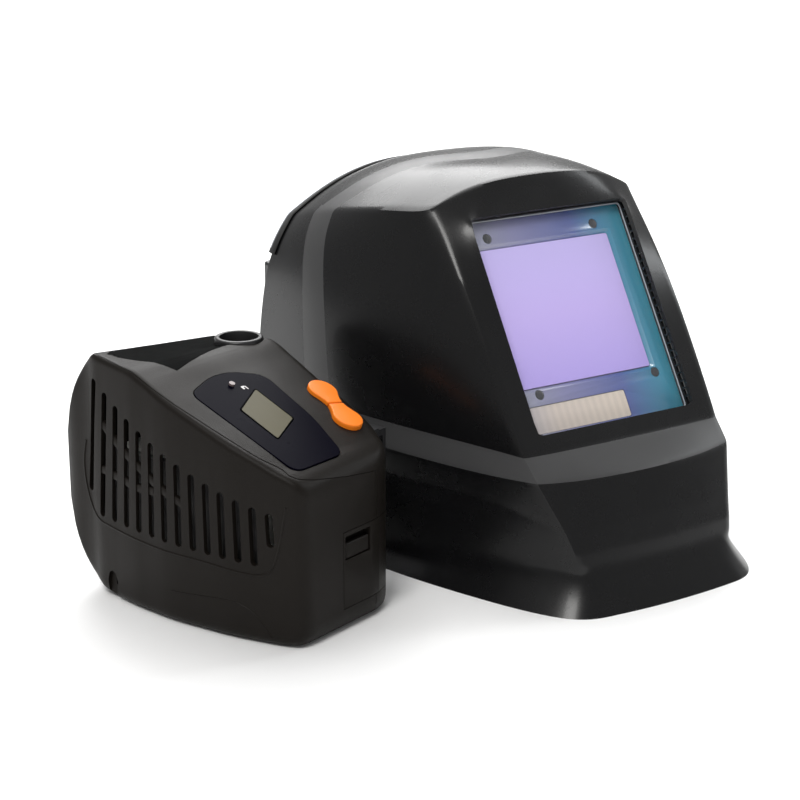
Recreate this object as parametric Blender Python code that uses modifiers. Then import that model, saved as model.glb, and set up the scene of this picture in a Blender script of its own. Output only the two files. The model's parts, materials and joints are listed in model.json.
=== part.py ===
"""A powered air respirator: a flip-up welding helmet with an air-fed headgear, and its belt-worn blower.

The kit stands on z = 0, +Z up, in metres, with the origin under the middle of its box. The helmet faces -Y and
the blower stands beside it on the wearer's right, -X. Lengths in this file are millimetres, and MM turns them
into metres where a mesh is made. The helmet, its window and the blower are each drawn in a frame of their own,
held by an empty.
"""

import math

import bmesh
import bpy
from mathutils import Matrix, Vector

MM = 0.001
GAP = 0.35  # clearance between neighbouring pieces
SIDES = 24  # facets of a round piece

# Where the two halves of the kit stand.
HELMET_PLACE = (79.1, -78.78, 0.0)
WINDOW_HEIGHT = 153.0  # window centre above the floor, straight above the helmet frame's origin
WINDOW_TILT = math.radians(31.8)  # how far the window leans back
BLOWER_PLACE = (-146.2, -104.88, 0.0)
BLOWER_YAW = math.radians(18.95)

# The auto-darkening window: a standard large cartridge behind a square opening.
WINDOW_WIDE = 118.0
WINDOW_HIGH = 135.5
LCD_WIDE = 98.0
LCD_HIGH = 88.0
LCD_SHIFT = (-4.0, 6.5)
SHELL_WALL = 2.5

# The axis that the helmet tips up about, seen from the window centre.
PIVOT = Vector((0.0, 108.0, WINDOW_HEIGHT - 32.0))
PIVOT_BOLT = 5.0

# The head ring: half width, half length, centre and how far it dips towards the nape.
RING_HALF_WIDE = 76.0
RING_HALF_LONG = 97.0
RING_CENTRE = Vector((0.0, 137.0, WINDOW_HEIGHT - 38.5))
RING_DIP = math.radians(28.7)

# The blower's outside, by stations along its length: (along, front, back, bottom, top at the front, top at the back).
BLOWER_STATIONS = (
    (-14, 9, 62, 12, 86, 86),
    (-13, 5, 69, 6, 92, 91.5),
    (-10.5, 2, 77, 2.5, 96, 95.5),
    (-6, 0, 84, 1, 99.2, 98.6),
    (2, -2.5, 90, 0, 102.5, 101.5),
    (14, -5.5, 94.5, 0, 107.9, 107),
    (30, -9, 96.5, 0, 114.6, 114.6),
    (52, -11.5, 98, 0, 123.8, 123.8),
    (75, -13, 101, 0, 133.5, 133.5),
    (92, -12, 102, 0, 140.6, 140.6),
    (100, -11.5, 102, 0, 143.7, 140),
    (112, -10, 102, 0, 144.8, 137),
    (126, -8, 102, 1, 146, 136),
    (135, -6.5, 102, 2, 147, 135.5),
    (142, -4, 101, 5.3, 142, 132),
    (149, -3, 99, 11, 134, 124),
    (155, -2.8, 96, 19.5, 124.5, 118),
    (160, -2.2, 90, 31, 112, 108),
    (163.5, -1.2, 82, 45, 98, 96),
    (166, 1, 75, 54, 86, 85),
    (167.5, 5, 62, 64, 78, 77),
)
CORNER_RADII = (8.5, 8.5, 8.5, 4.5)  # bottom front, bottom back, top back, top front
BLOWER_WALL = 2.6
TOP_SLOPE = math.atan(0.42)  # the control face drops towards the battery end
SEAM_LINE = ((-60, 78.5), (100, 141.8), (135, 145.8), (220, 150))  # (along, up) at zero depth
SEAM_DROP = 0.13  # the seam falls by this much for each step back across the ends
SEAM_DEPTH = 66.3
FAN_CENTRE = (68.0, 98.0, 68.0)
SLOT_COUNT = 14
SLOT_PITCH = 9.85


# ---------------------------------------------------------------- making objects


def clear_scene():
    for thing in list(bpy.data.objects):
        bpy.data.objects.remove(thing, do_unlink=True)


def new_collection(name):
    made = bpy.data.collections.new(name)
    bpy.context.scene.collection.children.link(made)
    return made


def material(name, colour, roughness, metallic=0.0, alpha=1.0):
    made = bpy.data.materials.get(name)
    if made is None:
        made = bpy.data.materials.new(name)
        made.use_nodes = True
        shader = made.node_tree.nodes["Principled BSDF"]
        shader.inputs["Base Color"].default_value = (*colour, 1.0)
        shader.inputs["Roughness"].default_value = roughness
        shader.inputs["Metallic"].default_value = metallic
        shader.inputs["Alpha"].default_value = alpha
    return made


def empty(name, place, turn=(0, 0, 0), parent=None):
    made = bpy.data.objects.new(name, None)
    made.location = Vector(place) * MM
    made.rotation_euler = turn
    made.parent = parent
    PARTS.objects.link(made)
    return made


def make(name, bm, look, parent, place=(0, 0, 0), turn=(0, 0, 0)):
    """Turns a bmesh drawn in millimetres into a named part, with its origin at place."""
    bmesh.ops.recalc_face_normals(bm, faces=bm.faces)
    bmesh.ops.scale(bm, vec=(MM, MM, MM), verts=bm.verts)
    mesh = bpy.data.meshes.new(name)
    bm.to_mesh(mesh)
    bm.free()
    mesh.shade_smooth()
    mesh.set_sharp_from_angle(angle=math.radians(35))
    part = bpy.data.objects.new(name, mesh)
    part.location = Vector(place) * MM
    part.rotation_euler = turn
    part.parent = parent
    if look is None:
        CUTTERS.objects.link(part)
        part.hide_render = True
        part.display_type = "WIRE"
    else:
        mesh.materials.append(look)
        PARTS.objects.link(part)
    return part


def bevel(part, width, segments=2):
    step = part.modifiers.new("round_edges", "BEVEL")
    step.width = width * MM
    step.segments = segments
    step.limit_method = "ANGLE"
    step.angle_limit = math.radians(40)
    return part


def boolean(part, other, operation="DIFFERENCE"):
    step = part.modifiers.new(other.name, "BOOLEAN")
    step.object = other
    step.operation = operation
    step.solver = "EXACT"
    return part


# ---------------------------------------------------------------- shapes, in millimetres


def box(size, centre=(0, 0, 0), turn=None):
    bm = bmesh.new()
    place = Matrix.Translation(centre) @ (turn or Matrix.Identity(4))
    bmesh.ops.create_cube(bm, size=1, matrix=place @ Matrix.Diagonal((*size, 1)))
    return bm


def aim(direction):
    return Vector((0, 0, 1)).rotation_difference(Vector(direction)).to_matrix().to_4x4()


def rod(radius, length, centre=(0, 0, 0), along=(0, 0, 1), top=None, sides=SIDES):
    """A cylinder, or a cone with its top radius given, centred on a point."""
    bm = bmesh.new()
    far = radius if top is None else top
    place = Matrix.Translation(centre) @ aim(along)
    bmesh.ops.create_cone(
        bm, cap_ends=True, segments=sides, radius1=radius, radius2=far, depth=length, matrix=place
    )
    return bm


def turned(profile, centre=(0, 0, 0), along=(0, 0, 1), sides=SIDES):
    """A ring or collar turned from a closed outline of (radius, height) points."""
    bm = bmesh.new()
    corners = [bm.verts.new((radius, 0, height)) for radius, height in profile]
    edges = [bm.edges.new(pair) for pair in zip(corners, corners[1:] + corners[:1])]
    bmesh.ops.spin(
        bm, geom=corners + edges, cent=(0, 0, 0), axis=(0, 0, 1), angle=math.tau, steps=sides
    )
    bmesh.ops.remove_doubles(bm, verts=bm.verts, dist=0.01)
    bmesh.ops.transform(bm, matrix=Matrix.Translation(centre) @ aim(along), verts=bm.verts)
    return bm


def tube_ring(outer, inner, length, centre=(0, 0, 0), along=(0, 0, 1), sides=SIDES):
    half = length / 2
    profile = ((outer, half), (outer, -half), (inner, -half), (inner, half))
    return turned(profile, centre, along, sides)


def plate(outline, low, high):
    """A flat outline in X and Y, extruded from one height to another."""
    bm = bmesh.new()
    face = bm.faces.new([bm.verts.new((x, y, low)) for x, y in outline])
    lifted = bmesh.ops.extrude_face_region(bm, geom=[face])["geom"]
    moved = [v for v in lifted if isinstance(v, bmesh.types.BMVert)]
    bmesh.ops.translate(bm, vec=(0, 0, high - low), verts=moved)
    return bm


def loft(loops, closed=False):
    """Skins a row of equal loops of points, capped at both ends unless the row closes on itself."""
    bm = bmesh.new()
    rings = [[bm.verts.new(point) for point in loop] for loop in loops]
    pairs = list(zip(rings, rings[1:] + ([rings[0]] if closed else [])))
    for one, two in pairs:
        for i in range(len(one)):
            j = (i + 1) % len(one)
            bm.faces.new((one[i], one[j], two[j], two[i]))
    if not closed:
        bm.faces.new(reversed(rings[0]))
        bm.faces.new(rings[-1])
    return bm


def merged(*shapes):
    """One bmesh that holds several separate ones."""
    whole = bmesh.new()
    for shape in shapes:
        piece = bpy.data.meshes.new("piece")
        shape.to_mesh(piece)
        shape.free()
        whole.from_mesh(piece)
        bpy.data.meshes.remove(piece)
    return whole


def rounded(points, radius, steps=3):
    """Rounds the corners of a flat outline, by one radius or by one for each corner."""
    radii = radius if isinstance(radius, tuple) else (radius,) * len(points)
    out = []
    for i, point in enumerate(points):
        here = Vector(point)
        back = (Vector(points[i - 1]) - here).normalized() * radii[i]
        ahead = (Vector(points[(i + 1) % len(points)]) - here).normalized() * radii[i]
        for step in range(steps + 1):
            t = step / steps
            out.append(here + back * (1 - t) ** 2 + ahead * t**2)
    return [(p.x, p.y) for p in out]


def oblong(wide, high, radius, centre=(0, 0)):
    x, y = centre
    w, h = wide / 2, high / 2
    corners = ((x - w, y - h), (x + w, y - h), (x + w, y + h), (x - w, y + h))
    return rounded(corners, radius)


# ---------------------------------------------------------------- helmet shell

# The right half of the shell as a coarse cage. Each column runs from the rim up to the brow or the side's top
# edge, as (out, back, up) from the window centre. Rows: rim, flare, rib foot, rib top, band foot, band top,
# window sill, window middle, window head, brow.
CAGE = {
    "centre": (
        (0, -94, -153.6), (0, -80.5, -131), (0, -77.5, -118), (0, -73, -104), (0, -64, -80),
        (0, -43, -67), (0, -35.7, -57.6), None, (0, 35.7, 57.6), (0, 48, 77),
    ),
    "half": (
        (22, -93.4, -153.6), (19, -80, -131), (20, -77, -118), (21, -72.5, -104), (24, -62.8, -80),
        (27, -42.8, -67), (30, -35.7, -57.6), None, (30, 35.7, 57.6), (26, 48.6, 76.5),
    ),
    "jamb": (
        (46, -91.5, -153.6), (39, -78.8, -131), (40.5, -75.5, -118), (42.5, -71, -105), (49, -59.5, -80),
        (54, -42.2, -67), (59, -35.7, -57.6), (59, 0, 0), (59, 35.7, 57.6), (50, 50.5, 73),
    ),
    "crease": (
        (72, -88, -153.6), (56.5, -76, -130), (58.5, -73, -119), (61.5, -68, -108), (72, -53, -79),
        (73, -41, -67), (74, -33, -55), (74.5, 5, 7), (74, 40, 48), (72.5, 53, 63),
    ),
    "cheek": (
        (98, -23, -153.6), (85, -20, -137), (84, -21, -107), (80, -24, -98), (86, -18, -81),
        (81, -17, -66), (82, -12, -52), (84, 20, 6), (82, 47, 42), (80, 57, 60),
    ),
    "temple": (
        (121.5, 56, -153.6), (110, 58, -145), (110, 58, -107), (106, 57, -99), (111, 58, -80),
        (106, 57, -65), (107.5, 58, -50), (105, 76, 6), (98, 87, 38), (90, 88, 58),
    ),
    "strip_front": (
        (122, 114, -153.6), (117.5, 113, -144), (117, 111, -107), (115, 110, -99), (119, 110, -79),
        (116, 110, -65), (117.5, 110, -50), (115.5, 117, 6), (106.5, 131, 35), (94.5, 138, 49),
    ),
    "strip_back": (
        (118.5, 131, -149), (118, 129, -140), (118, 127, -107), (116.5, 126, -99), (119.5, 126, -79),
        (117.5, 126, -65), (118.5, 126, -50), (116.5, 133, 6), (107, 146, 32.5), (94.5, 154, 46),
    ),
    "nape": (
        (118, 147, -137), (118, 148, -130), (118, 151, -107), (117.5, 152, -99), (119.5, 155, -79),
        (118.5, 156, -65), (118.8, 157, -50), (116, 158, 6), (106, 165, 30.5), (94.3, 170, 42),
    ),
    "rear": (
        (117, 157, -118), (117.5, 162, -113), (118, 172, -103), (118, 175, -97), (118.5, 183, -79),
        (118, 186, -65), (118, 188.5, -50), (114.5, 184, 5), (104.5, 182, 27), (93.5, 186, 37),
    ),
}
# The roof, from the centre line out to the side's top edge, for the columns from crease to rear.
ROOF = {
    "crease": ((0, 48, 77), (26, 48.6, 76.5), (50, 50.5, 73)),
    "cheek": ((0, 60, 79.5), (27, 62, 79), (54, 61, 74)),
    "temple": ((0, 77, 80), (33, 86, 80.5), (63, 88, 73)),
    "strip_front": ((0, 90, 78), (38, 109, 79.3), (71, 119, 69.5)),
    "strip_back": ((0, 103, 81.5), (36, 122, 81), (69, 133, 70.3)),
    "nape": ((0, 148, 79), (35, 154, 76.5), (68, 160, 65)),
    "rear": ((0, 186, 66), (34, 186, 64.5), (67, 186, 53)),
}
FLARE, RIB_FOOT, RIB_TOP, BAND_FOOT, BAND_TOP, SILL, HEAD, BROW = 1, 2, 3, 4, 5, 6, 8, 9
ROW_CREASES = {FLARE: 0.35, RIB_FOOT: 0.7, RIB_TOP: 0.7, BAND_FOOT: 0.85, BAND_TOP: 0.85, BROW: 0.75}


def shell_cage():
    bm = bmesh.new()
    sharp = bm.edges.layers.float.new("crease_edge")
    corner = bm.verts.layers.float.new("crease_vert")
    lift = Vector((0, 0, WINDOW_HEIGHT))
    names = list(CAGE)
    grid = {
        (name, row): bm.verts.new(Vector(point) + lift)
        for name in names
        for row, point in enumerate(CAGE[name])
        if point
    }
    for left, right in zip(names, names[1:]):
        for row in range(BROW):
            ring = [grid.get(key) for key in ((left, row), (right, row), (right, row + 1), (left, row + 1))]
            if all(ring) and not (right in ("half", "jamb") and SILL <= row < HEAD):
                bm.faces.new(ring)
    roof = {}
    for name, points in ROOF.items():
        fronts = [grid[key, BROW] for key in ("centre", "half", "jamb")]
        made = fronts if name == "crease" else [bm.verts.new(Vector(p) + lift) for p in points]
        roof[name] = [*made, grid[name, BROW]]
    for near, far in zip(list(roof), list(roof)[1:]):
        for i in range(3):
            bm.faces.new((roof[near][i], roof[near][i + 1], roof[far][i + 1], roof[far][i]))

    def crease(one, two, value):
        edge = bm.edges.get((one, two)) if one and two else None
        if edge:
            edge[sharp] = value

    for left, right in zip(names, names[1:]):
        for row, value in ROW_CREASES.items():
            crease(grid.get((left, row)), grid.get((right, row)), value)
        for row in (SILL, HEAD):
            if right in ("half", "jamb"):
                crease(grid[left, row], grid[right, row], 1.0)
    for row in range(FLARE, BROW):
        crease(grid["crease", row], grid["crease", row + 1], 0.7)
    for row in (SILL, SILL + 1):
        crease(grid["jamb", row], grid["jamb", row + 1], 1.0)
    for row in (SILL, HEAD):
        grid["jamb", row][corner] = 0.95
    return bm


def helmet_shell():
    look = material("gloss_black_shell", (0.018, 0.018, 0.02), 0.2)
    part = make("helmet_shell", shell_cage(), look, HELMET)
    mirror = part.modifiers.new("other_half", "MIRROR")
    mirror.merge_threshold = 0.0001
    smooth = part.modifiers.new("smooth", "SUBSURF")
    smooth.levels = smooth.render_levels = 1
    rim = rear_rim(part)
    wall = part.modifiers.new("wall", "SOLIDIFY")
    wall.thickness = SHELL_WALL * MM
    wall.offset = -1.0
    boolean(part, make("cut_floor", box((400, 500, 40), (0, 0, -20)), None, HELMET))
    return rim


def rear_rim(shell):
    """The shell's rear edge from one temple over the top to the other: point, outward and backward directions."""
    graph = bpy.context.evaluated_depsgraph_get()
    bm = bmesh.new()
    bm.from_mesh(shell.evaluated_get(graph).to_mesh())
    stops = []
    for corner in bm.verts:
        edge_on = [edge for edge in corner.link_edges if edge.is_boundary]
        here = corner.co / MM
        if len(edge_on) != 2 or here.y < 150 or here.z < TRIM_FOOT:
            continue
        inner = [edge.other_vert(corner).co / MM for edge in corner.link_edges if not edge.is_boundary]
        ahead = (edge_on[0].other_vert(corner).co - edge_on[1].other_vert(corner).co).normalized()
        back = here - sum(inner, Vector()) / len(inner)
        back = (back - ahead * back.dot(ahead)).normalized()
        out = ahead.cross(back).normalized()
        if out.dot(Vector((here.x, 0, here.z - 120))) < 0:
            out = -out
        stops.append((math.atan2(here.x, here.z - 120), here, out, back))
    bm.free()
    return [stop[1:] for stop in sorted(stops, key=lambda stop: stop[0])]


TRIM_FOOT = WINDOW_HEIGHT + 14.0
TRIM_SECTION = ((0.35, -5), (1.9, -5), (1.9, 1.2), (0.9, 2.4), (-3.4, 2.4), (-4.4, 1.2), (-4.4, -5), (-2.85, -5),
                (-2.85, 0.4), (0.35, 0.4))  # (outward, backward) of the shell's edge


def rear_edge_trim(rim):
    """A rubber channel pressed over the shell's rear edge, over the top of the head."""
    loops = [[here + out * o + back * b for o, b in TRIM_SECTION] for here, out, back in rim]
    return make("rear_edge_trim", loft(loops), material("black_rubber", (0.012, 0.012, 0.012), 0.7), HELMET)


def rim_clip(side, word):
    """The clip that holds the head seal's elastic at the rear edge."""
    centre = (side * 107.9, 188, WINDOW_HEIGHT - 3)
    look = material("clip_black", (0.015, 0.015, 0.016), 0.45)
    return bevel(make("rim_clip_" + word, box((6, 9, 24), centre), look, HELMET), 2.5)


def face_seal():
    """The fabric skirt from the shell's lower edge in towards the wearer's jaw: an open U seen from above."""
    look = material("seal_fabric", (0.02, 0.02, 0.022), 0.95)
    low, high = WINDOW_HEIGHT - 136.0, WINDOW_HEIGHT - 106.0
    loops = []
    for step in range(21):
        turn = math.radians(-90 + (step - 10) * 11.6)
        c, s = math.cos(turn), math.sin(turn)
        outer = Vector((78 * c, 20 + 88 * s, low))
        if s < 0:
            outer.x = 70 * c * (1 + 0.12 * (1 + s))
        inner = Vector((54 * c, 24 + 58 * s, high))
        across = (outer - inner).normalized()
        up = across.cross(Vector((-s, c, 0))).normalized()
        loops.append([outer + up, inner + up, inner - up, outer - up])
    return make("face_seal", loft(loops), look, HELMET)


# ---------------------------------------------------------------- the window and its filter cartridge

# Depths behind the shell's outer face, along the window's normal.
FRAME_FRONT, FRAME_BACK = -5.8, -22.0
LENS_FRONT, LENS_BACK = -8.0, -9.4
HOUSING_BACK = -13.4
BOARD_BACK = -15.4
REAR_BACK = -20.6
SENSORS = ((-44, 57), (36, 57), (-42, -42), (46, -42))
SOLAR_SIZE = (76, 17)
SOLAR_CENTRE = (-19, -57)


def window_piece(name, outline, front, back, look):
    return make(name, plate(outline, back, front), look, WINDOW)


def window_hole(name, outline, front=5, back=-40):
    return make(name, plate(outline, back, front), None, WINDOW)


def window_parts():
    wide, high = WINDOW_WIDE - 2 * GAP, WINDOW_HIGH - 2 * GAP
    black = material("matte_black_frame", (0.02, 0.02, 0.022), 0.45)
    frame = window_piece("lens_frame", oblong(121.8, 139.6, 4), FRAME_FRONT, FRAME_BACK, black)
    boolean(frame, window_hole("cut_lens_frame", oblong(WINDOW_WIDE, WINDOW_HIGH, 2)))
    clear = material("clear_polycarbonate", (0.9, 0.95, 1.0), 0.03, 0.0, 0.25)
    window_piece("cover_lens", oblong(wide, high, 2), LENS_FRONT, LENS_BACK, clear)

    blue = material("cartridge_blue", (0.12, 0.2, 0.36), 0.25)
    front = window_piece("filter_front_housing", oblong(wide, high, 2), LENS_BACK - GAP, HOUSING_BACK, blue)
    lcd = oblong(LCD_WIDE, LCD_HIGH, 1.5, LCD_SHIFT)
    boolean(front, window_hole("cut_lcd", lcd))
    boolean(front, window_hole("cut_solar", oblong(*SOLAR_SIZE, 1.5, SOLAR_CENTRE)))
    eyes = merged(*[rod(3.2, 40, (x, y, -12), sides=12) for x, y in SENSORS])
    boolean(front, make("cut_sensors", eyes, None, WINDOW))
    lilac = material("filter_lilac", (0.55, 0.45, 0.85), 0.06)
    glass = oblong(LCD_WIDE - 2 * GAP, LCD_HIGH - 2 * GAP, 1.5, LCD_SHIFT)
    window_piece("filter_glass", glass, LENS_BACK - 1.6, HOUSING_BACK, lilac)
    cream = material("solar_cream", (0.75, 0.66, 0.55), 0.4)
    cell = oblong(SOLAR_SIZE[0] - 2 * GAP, SOLAR_SIZE[1] - 2 * GAP, 1.2, SOLAR_CENTRE)
    window_piece("solar_cell", cell, LENS_BACK - 0.8, HOUSING_BACK, cream)

    green = material("circuit_board", (0.02, 0.12, 0.05), 0.5)
    board = window_piece("cartridge_board", oblong(wide, high, 2), HOUSING_BACK - GAP, BOARD_BACK, green)
    boolean(board, window_hole("cut_board", oblong(LCD_WIDE - 4, LCD_HIGH - 4, 1.5, LCD_SHIFT)))
    peeps = merged(*[rod(2.6, 4.6, (x, y, -12.3), sides=12) for x, y in SENSORS])
    boolean(board, make("add_sensors", peeps, None, WINDOW), "UNION")
    rear = window_piece("filter_rear_housing", oblong(wide, high, 2), BOARD_BACK - GAP, REAR_BACK, black)
    boolean(rear, window_hole("cut_rear", oblong(LCD_WIDE - 6, LCD_HIGH - 6, 1.5, LCD_SHIFT)))
    wells = merged(*[rod(4.6, 8, (x, -57, -20), sides=16) for x in BUTTON_ROW])
    boolean(rear, make("cut_button_wells", wells, None, WINDOW))
    inner = oblong(LCD_WIDE + 6, LCD_HIGH + 6, 2, LCD_SHIFT)
    window_piece("inner_cover_lens", inner, REAR_BACK - GAP, REAR_BACK - GAP - 1.0, clear)

    retainer = window_piece("lens_retainer", oblong(121.8, 139.6, 4), FRAME_BACK - GAP, -25.4, black)
    boolean(retainer, window_hole("cut_retainer", oblong(106, 90, 3, LCD_SHIFT), back=-60))
    boolean(retainer, window_hole("cut_retainer_buttons", oblong(70, 16, 4, (0, -57)), back=-60))
    boolean(retainer, window_hole("cut_latch_slot", oblong(24.8, 12, 1, (0, 62)), back=-60))
    grey = material("latch_grey", (0.1, 0.1, 0.1), 0.5)
    latch = make("lens_latch", box((24, 7, 2.2), (0, 60, -24.1)), grey, WINDOW)
    boolean(latch, make("add_latch_grip", box((16, 2.2, 3.6), (0, 60, -25.8)), None, WINDOW), "UNION")


BUTTON_ROW = (-24, 0, 24)
BUTTON_NAMES = ("mode_button", "minus_button", "plus_button")


def cartridge_buttons():
    look = material("button_grey", (0.2, 0.21, 0.22), 0.5)
    for x, name in zip(BUTTON_ROW, BUTTON_NAMES):
        shape = rod(4.2, 5.4, (0, 0, -1.7), sides=16)
        make(name, shape, look, WINDOW, place=(x, -57, REAR_BACK))


# ---------------------------------------------------------------- headgear


def ring_point(turn, out=0.0, up=0.0):
    """A point of the head ring. turn is 0 at the brow and runs round by the wearer's left."""
    along = Vector((0, math.cos(RING_DIP), -math.sin(RING_DIP)))
    lift = Vector((0, math.sin(RING_DIP), math.cos(RING_DIP)))
    flat = Vector((RING_HALF_WIDE * math.sin(turn), -RING_HALF_LONG * math.cos(turn)))
    normal = Vector((math.sin(turn) / RING_HALF_WIDE, -math.cos(turn) / RING_HALF_LONG)).normalized()
    flat += normal * out
    return RING_CENTRE + Vector((flat.x, 0, 0)) + along * flat.y + lift * up


def ring_band(start, end, inner, outer, low, high, steps):
    """A strap bent round the head ring between two angles in degrees."""
    loops = []
    for step in range(steps + 1):
        turn = math.radians(start + (end - start) * step / steps)
        corners = ((inner, low), (outer, low), (outer, high), (inner, high))
        loops.append([ring_point(turn, out, up) for out, up in corners])
    return loft(loops)


def crown_strap(name, back, top):
    """A strap over the head, whose ends run down outside the head ring."""
    look = material("headgear_plastic", (0.03, 0.03, 0.032), 0.5)
    reach = min(back + 14 - RING_CENTRE.y, 0) / math.cos(RING_DIP)
    half = RING_HALF_WIDE * math.sqrt(1 - (reach / RING_HALF_LONG) ** 2) + 2.6
    foot = RING_CENTRE.z - (back - RING_CENTRE.y) * math.tan(RING_DIP) - 8
    legs = foot + 26
    loops = []
    for step in range(-1, 18):
        turn = math.pi * min(max(step, 0), 16) / 16
        loops.append([])
        for grow in (0.0, 2.0):
            x = (half + grow) * math.cos(turn)
            z = foot if step in (-1, 17) else legs + (top - legs + grow) * math.sin(turn) ** 0.8
            loops[-1] += [(x, back - 8, z), (x, back + 8, z)][:: 1 if grow else -1]
    return make(name, loft(loops), look, HELMET)


def headgear():
    plastic = material("headgear_plastic", (0.03, 0.03, 0.032), 0.5)
    make("headband", ring_band(-118, 118, 0, 2, -11, 11, 24), plastic, HELMET)
    make("rear_band", ring_band(100, 260, -2.5, -0.6, -9, 9, 16), plastic, HELMET)
    crown_strap("crown_strap_front", 90, WINDOW_HEIGHT + 34)
    crown_strap("crown_strap_rear", 140, WINDOW_HEIGHT + 36)
    foam = material("pad_fabric", (0.025, 0.025, 0.028), 0.95)
    make("brow_pad", ring_band(-52, 52, -10, -0.7, -15, 15, 12), foam, HELMET)
    make("nape_pad", ring_band(148, 212, -11, -3.3, -14, 14, 8), foam, HELMET)

    along = Vector((0, math.cos(RING_DIP), -math.sin(RING_DIP)))
    seat = RING_CENTRE + along * (RING_HALF_LONG + 6.5)
    tilt = (-(math.pi / 2 + RING_DIP), 0, 0)
    housing = make("ratchet_housing", plate(oblong(58, 26, 9), -5.6, 5.6), plastic, HELMET, seat, tilt)
    bevel(housing, 1.5)
    knob_seat = RING_CENTRE + along * (RING_HALF_LONG + 12.1 + GAP)
    grip = [
        ((14.2 + 0.8 * math.cos(12 * a)) * math.cos(a), (14.2 + 0.8 * math.cos(12 * a)) * math.sin(a))
        for a in (math.tau * k / 48 for k in range(48))
    ]
    make("ratchet_knob", plate(grip, 0, 11), plastic, HELMET, knob_seat, tilt)


def side_pivot(side, word):
    """The arm that hangs from the head ring, with the bolt that the helmet tips on, and its friction knob."""
    plastic = material("headgear_plastic", (0.03, 0.03, 0.032), 0.5)
    arm = plate(rounded(((-24, -20), (14, -26), (17, 20), (-20, 26)), 7), -1.5, 1.5)
    upright = Matrix(((0, 0, 1, 0), (1, 0, 0, 0), (0, 1, 0, 0), (0, 0, 0, 1)))
    bmesh.ops.transform(arm, matrix=Matrix.Translation((side * 79.3, 0, 0)) @ upright, verts=arm.verts)
    part = make("pivot_arm_" + word, arm, plastic, HELMET, PIVOT)
    bolt = make("add_bolt_" + word, rod(PIVOT_BOLT, 30, (side * 94.3, 0, 0), (1, 0, 0)), None, HELMET, PIVOT)
    boolean(part, bolt, "UNION")
    knob = [
        ((15.5 + math.cos(9 * a)) * math.cos(a), (15.5 + math.cos(9 * a)) * math.sin(a))
        for a in (math.tau * k / 54 for k in range(54))
    ]
    disc = plate(knob, -5.5, 5.5)
    bmesh.ops.transform(disc, matrix=Matrix.Translation((side * 88.5, 0, 0)) @ upright, verts=disc.verts)
    turning = make("tension_knob_" + word, disc, material("knob_black", (0.02, 0.02, 0.02), 0.55), HELMET, PIVOT)
    bore = rod(PIVOT_BOLT + GAP, 60, (side * 90, 0, 0), (1, 0, 0))
    boolean(turning, make("cut_knob_bore_" + word, bore, None, HELMET, PIVOT))
    boss = tube_ring(12, PIVOT_BOLT + GAP, 12.6, (side * 103.2, 0, 0), (1, 0, 0))
    make("pivot_boss_" + word, boss, material("boss_black", (0.02, 0.02, 0.02), 0.5), HELMET, PIVOT)


# The air duct from the hose socket at the nape, up behind the head and over the crown to the brow.
DUCT_PATH = (
    (223, -62), (223, -38), (218, -14), (205, 13), (184, 32), (160, 41.5), (140, 43.5), (116, 43.5),
    (97, 42.8), (82, 41.2), (70, 36),
)
SOCKET = Vector((0.0, 238.0, WINDOW_HEIGHT - 56.5))


def duct_loops(half_wide, half_thick, stretch=0.0):
    path = [Vector((0, y, z + WINDOW_HEIGHT)) for y, z in DUCT_PATH]
    if stretch:
        path[-1] += (path[-1] - path[-2]).normalized() * stretch
    loops = []
    for i, point in enumerate(path):
        ahead = (path[min(i + 1, len(path) - 1)] - path[max(i - 1, 0)]).normalized()
        out = Vector((1, 0, 0)).cross(ahead).normalized()
        corner = half_thick * 0.6
        outline = rounded(
            (
                (-half_wide, -half_thick), (half_wide, -half_thick),
                (half_wide, half_thick), (-half_wide, half_thick),
            ),
            corner, 2,
        )
        loops.append([point + Vector((x, 0, 0)) + out * y for x, y in outline])
    return loops


def air_duct():
    plastic = material("duct_black", (0.018, 0.018, 0.02), 0.4)
    part = make("air_duct", loft(duct_loops(21, 4.2)), plastic, HELMET)
    boolean(part, make("cut_duct", loft(duct_loops(19, 2.7, 4)), None, HELMET))
    back = Vector((0, 1, 0))
    inlet = make("cut_duct_inlet", rod(11, 20, SOCKET - back * 12, back), None, HELMET)
    boolean(part, inlet)
    # The socket stands behind the duct's foot, and the swivel collar turns on its end.
    profile = ((16.5, 3), (16.5, -9.6), (12, -9.6), (12, 12), (14, 12), (14, 3))
    make("hose_socket", turned(profile, SOCKET, back), plastic, HELMET)
    collar = ((17, 13), (17, 3.4), (14.35, 3.4), (14.35, 13))
    make("swivel_collar", turned(collar, (0, 0, 0), back), material("collar_grey", (0.05, 0.05, 0.055), 0.45), HELMET, SOCKET)


# ---------------------------------------------------------------- blower


def top_at(along):
    """Height of the sloping control face."""
    return 102.0 + math.tan(TOP_SLOPE) * along


def blower_loops(inset=0.0):
    """Rounded sections of the blower, as (depth, along, up) points, set in by a wall."""
    first, last = BLOWER_STATIONS[0][0], BLOWER_STATIONS[-1][0]
    middle = (first + last) / 2
    shrink = 1 - inset / (last - middle)
    loops = []
    for along, front, back, low, top_front, top_back in BLOWER_STATIONS:
        x = middle + (along - middle) * shrink
        front, back, low = front + inset, back - inset, low + inset
        room = min(back - front, top_back - inset - low) / 3
        radii = tuple(max(min(radius - inset, room), 0.5) for radius in CORNER_RADII)
        corners = ((front, low), (back, low), (back, top_back - inset), (front, top_front - inset))
        loops.append([(y, x, z) for y, z in rounded(corners, radii)])
    return loops


def cover_region(name, shrink):
    """The block under the seam and in front of the back shell, which the filter cover takes."""
    outline = [(-60, -60), (220, -60), *reversed(SEAM_LINE)]
    bm = plate(outline, -60, SEAM_DEPTH - shrink)
    for corner in bm.verts:
        along, up, depth = corner.co
        if up > 0:
            up -= SEAM_DROP * depth + shrink
        corner.co = (depth, along, up)
    return make(name, bm, None, BLOWER)


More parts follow.
